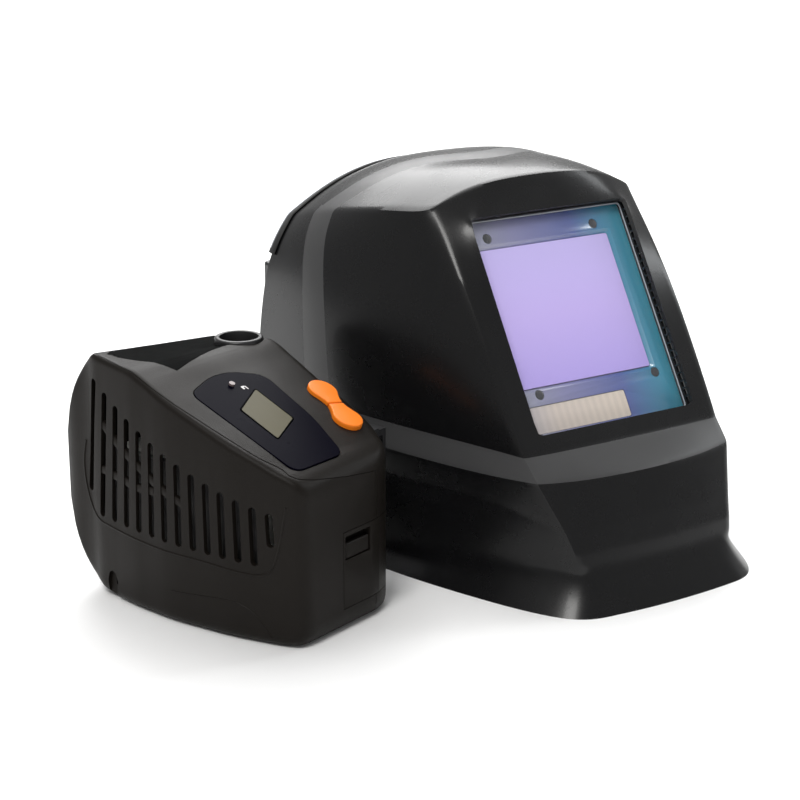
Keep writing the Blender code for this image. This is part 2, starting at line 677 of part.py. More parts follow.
def slot_ends(index):
    """Top and bottom of one intake slot, as (along, up)."""
    t = index / (SLOT_COUNT - 1)
    along = 133.8 - SLOT_PITCH * index
    top = 132 - 80.3 * t + 26.6 * t * t
    low = 49.7 - 3.3 * t
    if index in (0, SLOT_COUNT - 1):
        low += 12.5
    return (along, top), (along + 9 * (1 - t) ** 3 - t, low)


def slot_cutters():
    slots = []
    for index in range(SLOT_COUNT):
        (u1, w1), (u2, w2) = slot_ends(index)
        long = math.hypot(w1 - w2, u1 - u2)
        lean = Matrix.Rotation(math.atan2(u2 - u1, w1 - w2), 4, "X")
        slots.append(box((34, 4.6, long), (-4, (u1 + u2) / 2, (w1 + w2) / 2), lean))
    return make("cut_intake_slots", merged(*slots), None, BLOWER)


BATTERY_DOOR = ((36, 88), (14, 60))  # depth range and height range in the battery end
PANEL_OUTLINE = ((6, 71), (30, 78), (46, 77), (64, 67), (59.5, 25), (50, -4), (9, -4))  # (depth, along)
LCD_OUTLINE = ((47.3, 59.3), (47.3, 30.2), (22.3, 20.5), (22.3, 48.7))
BUTTON_CENTRES = ((85.3, 41.5), (78.2, 17.2))
PORT_CENTRE = (84.5, 105.0)
PORT_RADIUS = 14.5
PORT_FOOT, PORT_TOP = 128.0, 142.5


def sloped(outline, low, high):
    """A flat outline of (depth, along) points, extruded square to the sloping control face."""
    bm = plate(outline, low, high)
    for corner in bm.verts:
        depth, along, up = corner.co
        lift = Vector((0, -math.sin(TOP_SLOPE), math.cos(TOP_SLOPE))) * up
        corner.co = Vector((depth, along, top_at(along))) + lift
    return bm


def bean(centre, other, radius, reach=-0.3):
    """Half of a dumbbell: a round end with a waist towards the other half."""
    c, o = Vector(centre), Vector(other)
    ahead = (o - c).normalized()
    side = Vector((-ahead.y, ahead.x))
    half = (o - c).length / 2 + reach
    points = [c + side * -0.58 * radius + ahead * half, c + side * -0.62 * radius + ahead * (half - 3)]
    points += [
        c + (ahead * math.cos(a) + side * math.sin(a)) * radius
        for a in (math.radians(-55 - 250 * k / 14) for k in range(15))
    ]
    points += [c + side * 0.62 * radius + ahead * (half - 3), c + side * 0.58 * radius + ahead * half]
    return [(p.x, p.y) for p in points]


def blower_shells():
    dark = material("warm_black_plastic", (0.03, 0.027, 0.024), 0.5)
    housing = make("main_housing", loft(blower_loops()), dark, BLOWER)
    boolean(housing, cover_region("cut_cover_region", 0.0))
    void = make("cut_blower_void", loft(blower_loops(BLOWER_WALL)), None, BLOWER)
    boolean(housing, void)
    (d0, d1), (w0, w1) = BATTERY_DOOR
    doorway = make("cut_battery_door", box((d1 - d0, 30, w1 - w0), ((d0 + d1) / 2, -12, (w0 + w1) / 2)), None, BLOWER)
    boolean(housing, doorway)
    panel = rounded(PANEL_OUTLINE, 7)
    boolean(housing, make("cut_panel", sloped(panel, -1.6, 20), None, BLOWER))
    for word, one, two in (("on", 0, 1), ("off", 1, 0)):
        hole = bean(BUTTON_CENTRES[one], BUTTON_CENTRES[two], 9.0, 1.0)
        boolean(housing, make("cut_button_" + word, sloped(hole, -12, 20), None, BLOWER))
    port = rod(PORT_RADIUS + GAP, 30, (*PORT_CENTRE, PORT_TOP))
    boolean(housing, make("cut_port", port, None, BLOWER))

    cover = make("filter_cover", loft(blower_loops()), dark, BLOWER)
    boolean(cover, cover_region("keep_cover_region", GAP), "INTERSECT")
    boolean(cover, void)
    boolean(cover, slot_cutters())
    boolean(cover, doorway)


def control_parts():
    panel = [(x, y) for x, y in rounded(PANEL_OUTLINE, 7)]
    middle = Vector((sum(p[0] for p in panel), sum(p[1] for p in panel))) / len(panel)
    panel = [tuple(middle + (Vector(p) - middle) * 0.985) for p in panel]
    face = make("control_panel", sloped(panel, -1.2, 0.3), material("panel_navy", (0.008, 0.008, 0.018), 0.15), BLOWER)
    screen = rounded(LCD_OUTLINE, 1.5)
    boolean(face, make("cut_screen", sloped(screen, -0.3, 10), None, BLOWER))
    small = [tuple(Vector((34.8, 39.7)) + (Vector(p) - Vector((34.8, 39.7))) * 0.97) for p in screen]
    make("lcd_display", sloped(small, 0.0, 0.5), material("lcd_olive", (0.13, 0.12, 0.08), 0.2), BLOWER)
    lamp = rod(1.8, 1.2, (35.9, 66.5, top_at(66.5) + 1.4), (0, -math.sin(TOP_SLOPE), math.cos(TOP_SLOPE)), sides=12)
    make("status_lamp", lamp, material("lamp_dark", (0.05, 0.02, 0.02), 0.2), BLOWER)
    orange = material("button_orange", (0.9, 0.32, 0.04), 0.45)
    for word, one, two in (("on", 0, 1), ("off", 1, 0)):
        shape = sloped(bean(BUTTON_CENTRES[one], BUTTON_CENTRES[two], 8.6), -3.2, 2.2)
        bevel(make("button_" + word, shape, orange, BLOWER), 0.8)
    board = sloped([(14, 4), (56, 4), (56, 66), (14, 66)], -12, -10.4)
    make("control_board", board, material("circuit_board", (0.02, 0.12, 0.05), 0.5), BLOWER)


def port_ring():
    """The socket that the blower end of the breathing hose plugs into."""
    tall = PORT_TOP - PORT_FOOT
    profile = ((14.5, 0), (14.5, tall - 0.8), (13.9, tall), (11.9, tall), (11.5, tall - 0.5), (11.5, 0))
    base = (*PORT_CENTRE, PORT_FOOT)
    make("hose_port_ring", turned(profile, base), material("port_gloss", (0.02, 0.02, 0.022), 0.25), BLOWER)


def chimney(radius, low, high):
    """The fan's outlet: a leaning pipe from the scroll and an upright one under the port."""
    foot, head = Vector((70, 98, low)), Vector((*PORT_CENTRE, 114))
    leaning = rod(radius - 0.3, (head - foot).length, (foot + head) / 2, head - foot)
    upright = rod(radius, high - 112, (*PORT_CENTRE, (high + 112) / 2))
    return leaning, upright


def fan_parts():
    """A scroll that feeds the hose port, with a backward-curved impeller and its motor on the back wall."""
    x, y, z = FAN_CENTRE
    across = (1, 0, 0)
    grey = material("scroll_grey", (0.12, 0.12, 0.125), 0.5)
    scroll = make("fan_scroll", rod(37, 24, FAN_CENTRE, across), grey, BLOWER)
    for word, pipe in zip(("leaning", "upright"), chimney(11.2, 94, PORT_FOOT - GAP)):
        boolean(scroll, make("add_%s_pipe" % word, pipe, None, BLOWER), "UNION")
    hollow = make("cut_scroll", rod(34.6, 20, FAN_CENTRE, across), None, BLOWER)
    boolean(scroll, hollow)
    for word, pipe in zip(("leaning", "upright"), chimney(9.3, 90, PORT_FOOT + 8)):
        boolean(scroll, make("cut_%s_pipe" % word, pipe, None, BLOWER))
    eye = make("cut_scroll_eye", rod(17, 60, FAN_CENTRE, across), None, BLOWER)
    boolean(scroll, eye)

    wheel = rod(31, 1.6, (5.5, 0, 0), across)
    white = material("impeller_grey", (0.35, 0.35, 0.34), 0.5)
    impeller = make("impeller", wheel, white, BLOWER, FAN_CENTRE)
    hub = make("add_hub", rod(9, 12, (-0.2, 0, 0), across), None, BLOWER, FAN_CENTRE)
    boolean(impeller, hub, "UNION")
    blades = []
    for k in range(9):
        turn = Matrix.Rotation(k * math.tau / 9, 4, "X") @ Matrix.Translation((-1.0, 0, 21.5))
        blades.append(box((12, 1.4, 18), turn=turn @ Matrix.Rotation(math.radians(38), 4, "X")))
    boolean(impeller, make("add_blades", merged(*blades), None, BLOWER, FAN_CENTRE), "UNION")
    boolean(impeller, make("cut_shaft", rod(2 + GAP, 60, (0, 0, 0), across), None, BLOWER, FAN_CENTRE))
    motor = make("fan_motor", rod(16, 10, (x + 19, y, z), across), material("motor_steel", (0.4, 0.4, 0.4), 0.35, 1.0), BLOWER)
    shaft = make("add_shaft", rod(2, 24, (x + 5, y, z), across, sides=12), None, BLOWER)
    boolean(motor, shaft, "UNION")


def filter_parts():
    steel = material("arrestor_steel", (0.35, 0.35, 0.35), 0.4, 1.0)
    make("spark_arrestor", box((0.8, 112, 66), (2.2, 74, 56)), steel, BLOWER)
    foam = material("prefilter_foam", (0.18, 0.18, 0.17), 0.95)
    make("prefilter", box((4, 112, 66), (5.4, 74, 56)), foam, BLOWER)
    casing = material("filter_white", (0.55, 0.55, 0.52), 0.7)
    bevel(make("particle_filter", box((34, 114, 68), (25, 74, 56)), casing, BLOWER), 1.5, 1)


def battery_parts():
    """The battery: a door plate flush with the blower's end, a narrower pack behind it, and its catch."""
    (d0, d1), (w0, w1) = BATTERY_DOOR
    depth, height = d1 - d0 - 2 * GAP, w1 - w0 - 2 * GAP
    black = material("battery_gloss_black", (0.012, 0.012, 0.013), 0.25)
    middle = ((d0 + d1) / 2, (w0 + w1) / 2)
    pack = make("battery_pack", box((depth, 28, height), (middle[0], -11.5, middle[1])), black, BLOWER)
    boolean(pack, make("add_battery_cells", box((40, 50, 42), (65, 25, middle[1])), None, BLOWER), "UNION")
    boolean(pack, make("keep_flush", loft(blower_loops()), None, BLOWER), "INTERSECT")
    boolean(pack, make("cut_latch_pocket", box((22, 9, 14), (49, -13, w1 - 10)), None, BLOWER))
    latch = box((20, 3.2, 9), (49, -12, w1 - 12))
    bevel(make("battery_latch", latch, material("latch_grey", (0.1, 0.1, 0.1), 0.5), BLOWER), 0.5, 1)


BRACKET_FACE = 105.4
BRACKET_BACK = ((96.6, 16), (97.5, 30), (98.5, 52), (101.4, 75), (102.4, 92), (102.4, 124))  # (depth, along)


def belt_bracket():
    """A plate on the blower's back, shaped to it, with two loops for the waist belt."""
    look = material("bracket_black", (0.02, 0.02, 0.02), 0.55)
    outline = [*BRACKET_BACK, (BRACKET_FACE, 124), (BRACKET_FACE, 16)]
    part = make("belt_bracket", plate(outline, 35, 97), look, BLOWER)
    loops = [box((10.6, 12, 58), (BRACKET_FACE + 3.9, y, 66)) for y in (24, 116)]
    boolean(part, make("add_belt_loops", merged(*loops), None, BLOWER), "UNION")
    slots = [box((6.4, 30, 50), (BRACKET_FACE + 3.2, y, 66)) for y in (24, 116)]
    boolean(part, make("cut_belt_slots", merged(*slots), None, BLOWER))
    steel = material("screw_steel", (0.4, 0.4, 0.4), 0.3, 1.0)
    for number, (y, z) in enumerate(((48, 44), (92, 44), (48, 88), (92, 88)), 1):
        screw = rod(3.2, 1.6, (BRACKET_FACE + 1.2, y, z), (1, 0, 0), sides=12)
        make("bracket_screw_%d" % number, screw, steel, BLOWER)


# ---------------------------------------------------------------- the kit

clear_scene()
PARTS = new_collection("powered_air_respirator")
CUTTERS = new_collection("cutters")
HELMET = empty("helmet_frame", HELMET_PLACE)
WINDOW = empty("window_frame", (0, 0, WINDOW_HEIGHT), (math.pi / 2 - WINDOW_TILT, 0, 0), HELMET)
BLOWER = empty("blower_frame", BLOWER_PLACE, (0, 0, BLOWER_YAW))

rear_edge_trim(helmet_shell())
window_parts()
cartridge_buttons()
face_seal()
headgear()
air_duct()
for sign, word in ((1, "left"), (-1, "right")):
    rim_clip(sign, word)
    side_pivot(sign, word)
blower_shells()
control_parts()
port_ring()
fan_parts()
filter_parts()
battery_parts()
belt_bracket()
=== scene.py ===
import json
import math

import bmesh
import bpy
from mathutils import Matrix, Vector, noise


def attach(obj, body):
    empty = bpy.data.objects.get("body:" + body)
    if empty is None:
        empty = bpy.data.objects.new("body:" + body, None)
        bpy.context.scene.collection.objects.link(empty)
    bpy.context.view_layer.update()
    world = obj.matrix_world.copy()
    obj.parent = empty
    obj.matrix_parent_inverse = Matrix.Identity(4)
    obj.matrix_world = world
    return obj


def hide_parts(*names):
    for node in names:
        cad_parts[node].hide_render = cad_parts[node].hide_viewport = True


# The visual model of a powered air respirator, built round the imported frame. Lengths are millimetres in the
# helmet's, window's and blower's own frames, and MM turns them into metres where a mesh is made.

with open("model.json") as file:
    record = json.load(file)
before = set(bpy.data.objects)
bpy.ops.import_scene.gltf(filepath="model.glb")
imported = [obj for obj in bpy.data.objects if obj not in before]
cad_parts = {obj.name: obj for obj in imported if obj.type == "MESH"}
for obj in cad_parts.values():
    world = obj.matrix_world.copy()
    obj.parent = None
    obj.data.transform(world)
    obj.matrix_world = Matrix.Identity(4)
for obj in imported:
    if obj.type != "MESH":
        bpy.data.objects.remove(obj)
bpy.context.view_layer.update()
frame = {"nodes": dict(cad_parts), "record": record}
NODES = frame["nodes"]
MM = 0.001
GAP = 0.35  # clearance between neighbouring pieces
SIDES = 48  # facets of a round piece

HELMET_PLACE = (79.1, -78.78, 0.0)
WINDOW_HEIGHT = 153.0  # window centre above the floor, straight above the helmet frame's origin
WINDOW_TILT = math.radians(31.8)  # how far the window leans back
BLOWER_PLACE = (-146.2, -104.88, 0.0)
BLOWER_YAW = math.radians(18.95)

# The auto-darkening window: a standard large cartridge behind an upright opening.
WINDOW_WIDE = 118.0
WINDOW_HIGH = 135.5
LCD_WIDE = 98.0
LCD_HIGH = 88.0
LCD_SHIFT = (-4.0, 6.5)
SHELL_WALL = 2.5

# The head ring: half width, half length, centre and how far it dips towards the nape.
RING_HALF_WIDE = 76.0
RING_HALF_LONG = 97.0
RING_CENTRE = Vector((0.0, 137.0, WINDOW_HEIGHT - 38.5))
RING_DIP = math.radians(28.7)

# The blower's outside, by stations along its length:
# (along, front, back, bottom, top at the front, top at the back).
BLOWER_STATIONS = (
    (-14, 9, 62, 12, 86, 86),
    (-13, 5, 69, 6, 92, 91.5),
    (-10.5, 2, 77, 2.5, 96, 95.5),
    (-6, 0, 84, 1, 99.2, 98.6),
    (2, -2.5, 90, 0, 102.5, 101.5),
    (14, -5.5, 94.5, 0, 107.9, 107),
    (30, -9, 96.5, 0, 114.6, 114.6),
    (52, -11.5, 98, 0, 123.8, 123.8),
    (75, -13, 101, 0, 133.5, 133.5),
    (92, -12, 102, 0, 140.6, 140.6),
    (100, -11.5, 102, 0, 143.7, 140),
    (112, -10, 102, 0, 144.8, 137),
    (126, -8, 102, 1, 146, 136),
    (135, -6.5, 102, 2, 147, 135.5),
    (142, -4, 101, 5.3, 142, 132),
    (149, -3, 99, 11, 134, 124),
    (155, -2.8, 96, 19.5, 124.5, 118),
    (160, -2.2, 90, 31, 112, 108),
    (163.5, -1.2, 82, 45, 98, 96),
    (166, 1, 75, 54, 86, 85),
    (167.5, 5, 62, 64, 78, 77),
)
CORNER_RADII = (8.5, 8.5, 8.5, 4.5)  # bottom front, bottom back, top back, top front
BLOWER_WALL = 2.6
TOP_SLOPE = math.atan(0.42)  # the control face drops towards the battery end
FACE_FOOT = 102.0  # height of the control face's plane at the start of the length
SEAM_LINE = ((-60, 78.5), (100, 141.8), (135, 145.8), (220, 150))  # (along, up) at zero depth
SEAM_DROP = 0.13  # the seam falls by this much for each step back across the ends
SEAM_DEPTH = 66.3
SLOT_COUNT = 14
SLOT_PITCH = 9.85


# ---------------------------------------------------------------- shapes, in millimetres


def box(size, centre=(0, 0, 0), turn=None):
    bm = bmesh.new()
    place = Matrix.Translation(centre) @ (turn or Matrix.Identity(4))
    bmesh.ops.create_cube(bm, size=1, matrix=place @ Matrix.Diagonal((*size, 1)))
    return bm


def aim(direction):
    return Vector((0, 0, 1)).rotation_difference(Vector(direction)).to_matrix().to_4x4()


def rod(radius, length, centre=(0, 0, 0), along=(0, 0, 1), top=None, sides=SIDES):
    """A cylinder, or a cone with its top radius given, centred on a point."""
    bm = bmesh.new()
    far = radius if top is None else top
    place = Matrix.Translation(centre) @ aim(along)
    bmesh.ops.create_cone(
        bm, cap_ends=True, segments=sides, radius1=radius, radius2=far, depth=length, matrix=place
    )
    return bm


def turned(profile, centre=(0, 0, 0), along=(0, 0, 1), sides=SIDES):
    """A ring or collar turned from a closed outline of (radius, height) points."""
    bm = bmesh.new()
    corners = [bm.verts.new((radius, 0, height)) for radius, height in profile]
    edges = [bm.edges.new(pair) for pair in zip(corners, corners[1:] + corners[:1])]
    bmesh.ops.spin(
        bm, geom=corners + edges, cent=(0, 0, 0), axis=(0, 0, 1), angle=math.tau, steps=sides
    )
    bmesh.ops.remove_doubles(bm, verts=bm.verts, dist=0.01)
    bmesh.ops.transform(bm, matrix=Matrix.Translation(centre) @ aim(along), verts=bm.verts)
    return bm


def plate(outline, low, high):
    """A flat outline in X and Y, extruded from one height to another."""
    bm = bmesh.new()
    face = bm.faces.new([bm.verts.new((x, y, low)) for x, y in outline])
    lifted = bmesh.ops.extrude_face_region(bm, geom=[face])["geom"]
    moved = [v for v in lifted if isinstance(v, bmesh.types.BMVert)]
    bmesh.ops.translate(bm, vec=(0, 0, high - low), verts=moved)
    return bm


def loft(loops, closed=False):
    """Skins a row of equal loops of points, capped at both ends unless the row closes on itself."""
    bm = bmesh.new()
    rings = [[bm.verts.new(point) for point in loop] for loop in loops]
    pairs = list(zip(rings, rings[1:] + ([rings[0]] if closed else [])))
    for one, two in pairs:
        for i in range(len(one)):
            j = (i + 1) % len(one)
            bm.faces.new((one[i], one[j], two[j], two[i]))
    if not closed:
        bm.faces.new(reversed(rings[0]))
        bm.faces.new(rings[-1])
    return bm


def merged(*shapes):
    """One bmesh that holds several separate ones."""
    whole = bmesh.new()
    for shape in shapes:
        piece = bpy.data.meshes.new("piece")
        shape.to_mesh(piece)
        shape.free()
        whole.from_mesh(piece)
        bpy.data.meshes.remove(piece)
    return whole


def rounded(points, radius, steps=3):
    """Rounds the corners of a flat outline, by one radius or by one for each corner."""
    radii = radius if isinstance(radius, tuple) else (radius,) * len(points)
    out = []
    for i, point in enumerate(points):
        here = Vector(point)
        back = (Vector(points[i - 1]) - here).normalized() * radii[i]
        ahead = (Vector(points[(i + 1) % len(points)]) - here).normalized() * radii[i]
        for step in range(steps + 1):
            t = step / steps
            out.append(here + back * (1 - t) ** 2 + ahead * t**2)
    return [(p.x, p.y) for p in out]


def oblong(wide, high, radius, centre=(0, 0)):
    x, y = centre
    w, h = wide / 2, high / 2
    corners = ((x - w, y - h), (x + w, y - h), (x + w, y + h), (x - w, y + h))
    return rounded(corners, radius)


# The right half of the shell as a coarse cage. Each column runs from the rim up to the brow or the side's top
# edge, as (out, back, up) from the window centre. Rows: rim, flare, rib foot, rib top, band foot, band top,
# window sill, window middle, window head, brow.
CAGE = {
    "centre": (
        (0, -94, -153.6), (0, -80.5, -131), (0, -77.5, -118), (0, -73, -104), (0, -64, -80),
        (0, -43, -67), (0, -35.7, -57.6), None, (0, 35.7, 57.6), (0, 48, 77),
    ),
    "half": (
        (22, -93.4, -153.6), (19, -80, -131), (20, -77, -118), (21, -72.5, -104), (24, -62.8, -80),
        (27, -42.8, -67), (30, -35.7, -57.6), None, (30, 35.7, 57.6), (26, 48.6, 76.5),
    ),
    "jamb": (
        (46, -91.5, -153.6), (39, -78.8, -131), (40.5, -75.5, -118), (42.5, -71, -105), (49, -59.5, -80),
        (54, -42.2, -67), (59, -35.7, -57.6), (59, 0, 0), (59, 35.7, 57.6), (50, 50.5, 73),
    ),
    "crease": (
        (72, -88, -153.6), (56.5, -76, -130), (58.5, -73, -119), (61.5, -68, -108), (72, -53, -79),
        (73, -41, -67), (74, -33, -55), (74.5, 5, 7), (74, 40, 48), (72.5, 53, 63),
    ),
    "cheek": (
        (98, -23, -153.6), (85, -20, -137), (84, -21, -107), (80, -24, -98), (86, -18, -81),
        (81, -17, -66), (82, -12, -52), (84, 20, 6), (82, 47, 42), (80, 57, 60),
    ),
    "temple": (
        (121.5, 56, -153.6), (110, 58, -145), (110, 58, -107), (106, 57, -99), (111, 58, -80),
        (106, 57, -65), (107.5, 58, -50), (105, 76, 6), (98, 87, 38), (90, 88, 58),
    ),
    "strip_front": (
        (122, 114, -153.6), (117.5, 113, -144), (117, 111, -107), (115, 110, -99), (119, 110, -79),
        (116, 110, -65), (117.5, 110, -50), (115.5, 117, 6), (106.5, 131, 35), (94.5, 138, 49),
    ),
    "strip_back": (
        (118.5, 131, -149), (118, 129, -140), (118, 127, -107), (116.5, 126, -99), (119.5, 126, -79),
        (117.5, 126, -65), (118.5, 126, -50), (116.5, 133, 6), (107, 146, 32.5), (94.5, 154, 46),
    ),
    "nape": (
        (118, 147, -137), (118, 148, -130), (118, 151, -107), (117.5, 152, -99), (119.5, 155, -79),
        (118.5, 156, -65), (118.8, 157, -50), (116, 158, 6), (106, 165, 30.5), (94.3, 170, 42),
    ),
    "rear": (
        (117, 157, -118), (117.5, 162, -113), (118, 172, -103), (118, 175, -97), (118.5, 183, -79),
        (118, 186, -65), (118, 188.5, -50), (114.5, 184, 5), (104.5, 182, 27), (93.5, 186, 37),
    ),
}
# The roof, from the centre line out to the side's top edge, for the columns from crease to rear.
ROOF = {
    "crease": ((0, 48, 77), (26, 48.6, 76.5), (50, 50.5, 73)),
    "cheek": ((0, 60, 79.5), (27, 62, 79), (54, 61, 74)),
    "temple": ((0, 77, 80), (33, 86, 80.5), (63, 88, 73)),
    "strip_front": ((0, 90, 78), (38, 109, 79.3), (71, 119, 69.5)),
    "strip_back": ((0, 103, 81.5), (36, 122, 81), (69, 133, 70.3)),
    "nape": ((0, 148, 79), (35, 154, 76.5), (68, 160, 65)),
    "rear": ((0, 186, 66), (34, 186, 64.5), (67, 186, 53)),
}
FLARE, RIB_FOOT, RIB_TOP, BAND_FOOT, BAND_TOP, SILL, HEAD, BROW = 1, 2, 3, 4, 5, 6, 8, 9
ROW_CREASES = {FLARE: 0.35, RIB_FOOT: 0.7, RIB_TOP: 0.7, BAND_FOOT: 0.85, BAND_TOP: 0.85, BROW: 0.75}




# ---------------------------------------------------------------- looks


def look(name, colour, rough, grain=900.0, bump=0.15, metallic=0.0, coat=0.0, tint=None, vary=0.12,
         style="moulded", shine=0.5):
    """A Principled material with a moulded, woven, foamed or brushed grain and an uneven sheen."""
    made = bpy.data.materials.new(name)
    made.use_nodes = True
    tree = made.node_tree
    shader = tree.nodes["Principled BSDF"]
    shader.inputs["Metallic"].default_value = metallic
    shader.inputs["Coat Weight"].default_value = coat
    shader.inputs["Specular IOR Level"].default_value = shine
    shader.inputs["Coat Roughness"].default_value = 0.06
    where = tree.nodes.new("ShaderNodeTexCoord").outputs["Object"]

    def add(kind, **values):
        node = tree.nodes.new(kind)
        for key, value in values.items():
            if key in node.inputs:
                node.inputs[key].default_value = value
            else:
                setattr(node, key, value)
        return node

    fine = add("ShaderNodeTexNoise", Scale=grain, Detail=3.0, Roughness=0.6)
    broad = add("ShaderNodeTexNoise", Scale=28.0, Detail=5.0, Roughness=0.65)
    tree.links.new(where, fine.inputs["Vector"])
    tree.links.new(where, broad.inputs["Vector"])
    relief = fine.outputs["Fac"]
    if style == "woven":
        waves = []
        for axis in ("X", "Z"):
            wave = add("ShaderNodeTexWave", Scale=grain, Distortion=0.6, bands_direction=axis)
            wave.inputs["Detail Scale"].default_value = 2.0
            tree.links.new(where, wave.inputs["Vector"])
            waves.append(wave.outputs["Fac"])
        mixed = add("ShaderNodeMath", operation="MULTIPLY")
        tree.links.new(waves[0], mixed.inputs[0])
        tree.links.new(waves[1], mixed.inputs[1])
        relief = mixed.outputs[0]
        shader.inputs["Sheen Weight"].default_value = 0.35
    if style == "foam":
        cells = add("ShaderNodeTexVoronoi", Scale=grain)
        tree.links.new(where, cells.inputs["Vector"])
        relief = cells.outputs["Distance"]
    if style == "brushed":
        stretch = add("ShaderNodeMapping")
        stretch.inputs["Scale"].default_value = (1.0, 14.0, 1.0)
        tree.links.new(where, stretch.inputs["Vector"])
        tree.links.new(stretch.outputs["Vector"], fine.inputs["Vector"])
    lift = add("ShaderNodeBump", Strength=bump, Distance=0.0004)
    tree.links.new(relief, lift.inputs["Height"])
    tree.links.new(lift.outputs["Normal"], shader.inputs["Normal"])

    tones = add("ShaderNodeMapRange")
    tones.inputs["From Min"].default_value = 0.3
    tones.inputs["From Max"].default_value = 0.7
    tones.inputs["To Min"].default_value = rough * (1 - vary)
    tones.inputs["To Max"].default_value = min(rough * (1 + vary), 1.0)
    tree.links.new(broad.outputs["Fac"], tones.inputs["Value"])
    tree.links.new(tones.outputs["Result"], shader.inputs["Roughness"])
    paint = add("ShaderNodeMix", data_type="RGBA")
    paint.inputs["A"].default_value = (*[c * (1 - vary * 0.6) for c in colour], 1.0)
    paint.inputs["B"].default_value = (*(tint or [min(c * (1 + vary * 0.6), 1.0) for c in colour]), 1.0)
    tree.links.new(broad.outputs["Fac"], paint.inputs["Factor"])
    tree.links.new(paint.outputs["Result"], shader.inputs["Base Color"])
    return made


def clear_look(name, colour, alpha, rough):
    """A see-through material."""
    made = look(name, colour, rough, bump=0.01)
    made.node_tree.nodes["Principled BSDF"].inputs["Alpha"].default_value = alpha
    return made


def ramp_look(name, stops, rough, axis, low, high, bump=0.05, coat=0.6, place=None, lines=0.0):
    """A coated face whose colour runs through several stops along one direction of the window's frame."""
    made = look(name, stops[0][1], rough, bump=bump, coat=coat)
    tree = made.node_tree
    shader = tree.nodes["Principled BSDF"]
    where = tree.nodes.new("ShaderNodeTexCoord")
    where.object = place
    split = tree.nodes.new("ShaderNodeSeparateXYZ")
    tree.links.new(where.outputs["Object"], split.inputs["Vector"])
    scale = tree.nodes.new("ShaderNodeMapRange")
    scale.inputs["From Min"].default_value = low * MM
    scale.inputs["From Max"].default_value = high * MM
    tree.links.new(split.outputs[axis], scale.inputs["Value"])
    ramp = tree.nodes.new("ShaderNodeValToRGB")
    ramp.color_ramp.elements[0].position = stops[0][0]
    ramp.color_ramp.elements[0].color = (*stops[0][1], 1.0)
    ramp.color_ramp.elements[1].position = stops[-1][0]
    ramp.color_ramp.elements[1].color = (*stops[-1][1], 1.0)
    for position, colour in stops[1:-1]:
        ramp.color_ramp.elements.new(position).color = (*colour, 1.0)
    tree.links.new(scale.outputs["Result"], ramp.inputs["Fac"])
    tree.links.new(ramp.outputs["Color"], shader.inputs["Base Color"])
    if lines:
        wave = tree.nodes.new("ShaderNodeTexWave")
        wave.inputs["Scale"].default_value = lines
        wave.bands_direction = "X"
        tree.links.new(where.outputs["Object"], wave.inputs["Vector"])
        darker = tree.nodes.new("ShaderNodeMix")
        darker.data_type = "RGBA"
        darker.blend_type = "MULTIPLY"
        darker.inputs["Factor"].default_value = 0.09
        tree.links.new(ramp.outputs["Color"], darker.inputs["A"])
        tree.links.new(wave.outputs["Color"], darker.inputs["B"])
        tree.links.new(darker.outputs["Result"], shader.inputs["Base Color"])
    return made


# ---------------------------------------------------------------- making pieces


def anchor(name, place, turn=(0, 0, 0), parent=None):
    """An empty that stands for one of the frames the shapes are drawn in."""
    made = bpy.data.objects.new(name, None)
    made.location = Vector(place) * MM
    made.rotation_euler = turn
    made.parent = parent
    bpy.context.scene.collection.objects.link(made)
    bpy.context.view_layer.update()
    return made


HELMET = anchor("helmet_frame", HELMET_PLACE)
WINDOW = anchor("window_frame", (0, 0, WINDOW_HEIGHT), (math.pi / 2 - WINDOW_TILT, 0, 0), HELMET)
BLOWER = anchor("blower_frame", BLOWER_PLACE, (0, 0, BLOWER_YAW))


def raw(name, bm, where, looks=()):
    """A mesh object drawn in one of the three frames, moved into the shared one."""
    bmesh.ops.recalc_face_normals(bm, faces=bm.faces)
    bmesh.ops.scale(bm, vec=(MM, MM, MM), verts=bm.verts)
    bmesh.ops.transform(bm, matrix=where.matrix_world, verts=bm.verts)
    mesh = bpy.data.meshes.new(name)
    bm.to_mesh(mesh)
    bm.free()
    made = bpy.data.objects.new(name, mesh)
    for one in looks:
        mesh.materials.append(one)
    bpy.context.scene.collection.objects.link(made)
    return made


def combine(piece, bm, where, operation="DIFFERENCE"):
    """Cuts, joins or trims a piece with a shape drawn in the same frame."""
    other = raw("cutter", bm, where)
    other.hide_render = True
    step = piece.modifiers.new("combine", "BOOLEAN")
    step.object = other
    step.operation = operation
    step.solver = "EXACT"
    return piece


def bevelled(piece, width, segments=3):
    step = piece.modifiers.new("soft_edges", "BEVEL")
    step.width = width * MM
    step.segments = segments
    step.limit_method = "ANGLE"
    step.angle_limit = math.radians(38)
    step.harden_normals = False
    return piece


def finished(piece, body, stands_for=(), angle=32):
    """Applies the piece's modifiers, smooths it, and puts it on its body."""
    graph = bpy.context.evaluated_depsgraph_get()
    mesh = bpy.data.meshes.new_from_object(piece.evaluated_get(graph))
    cutters = [step.object for step in piece.modifiers if step.type == "BOOLEAN"]
    piece.modifiers.clear()
    piece.data = mesh
    for cutter in cutters:
        bpy.data.objects.remove(cutter)
    mesh.shade_smooth()
    mesh.set_sharp_from_angle(angle=math.radians(angle))
    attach(piece, body)
    if stands_for:
        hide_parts(*stands_for)
    return piece


def swept(path, section, closed_path=False):
    """A section, as (side, up) offsets, carried along a path of (point, side direction, up direction)."""
    return loft([[p + s * a + u * b for a, b in section] for p, s, u in path], closed_path)


def circle(radius, sides=12):
    turns = [math.tau * k / sides for k in range(sides)]
    return [(radius * math.cos(turn), radius * math.sin(turn)) for turn in turns]


# ---------------------------------------------------------------- materials

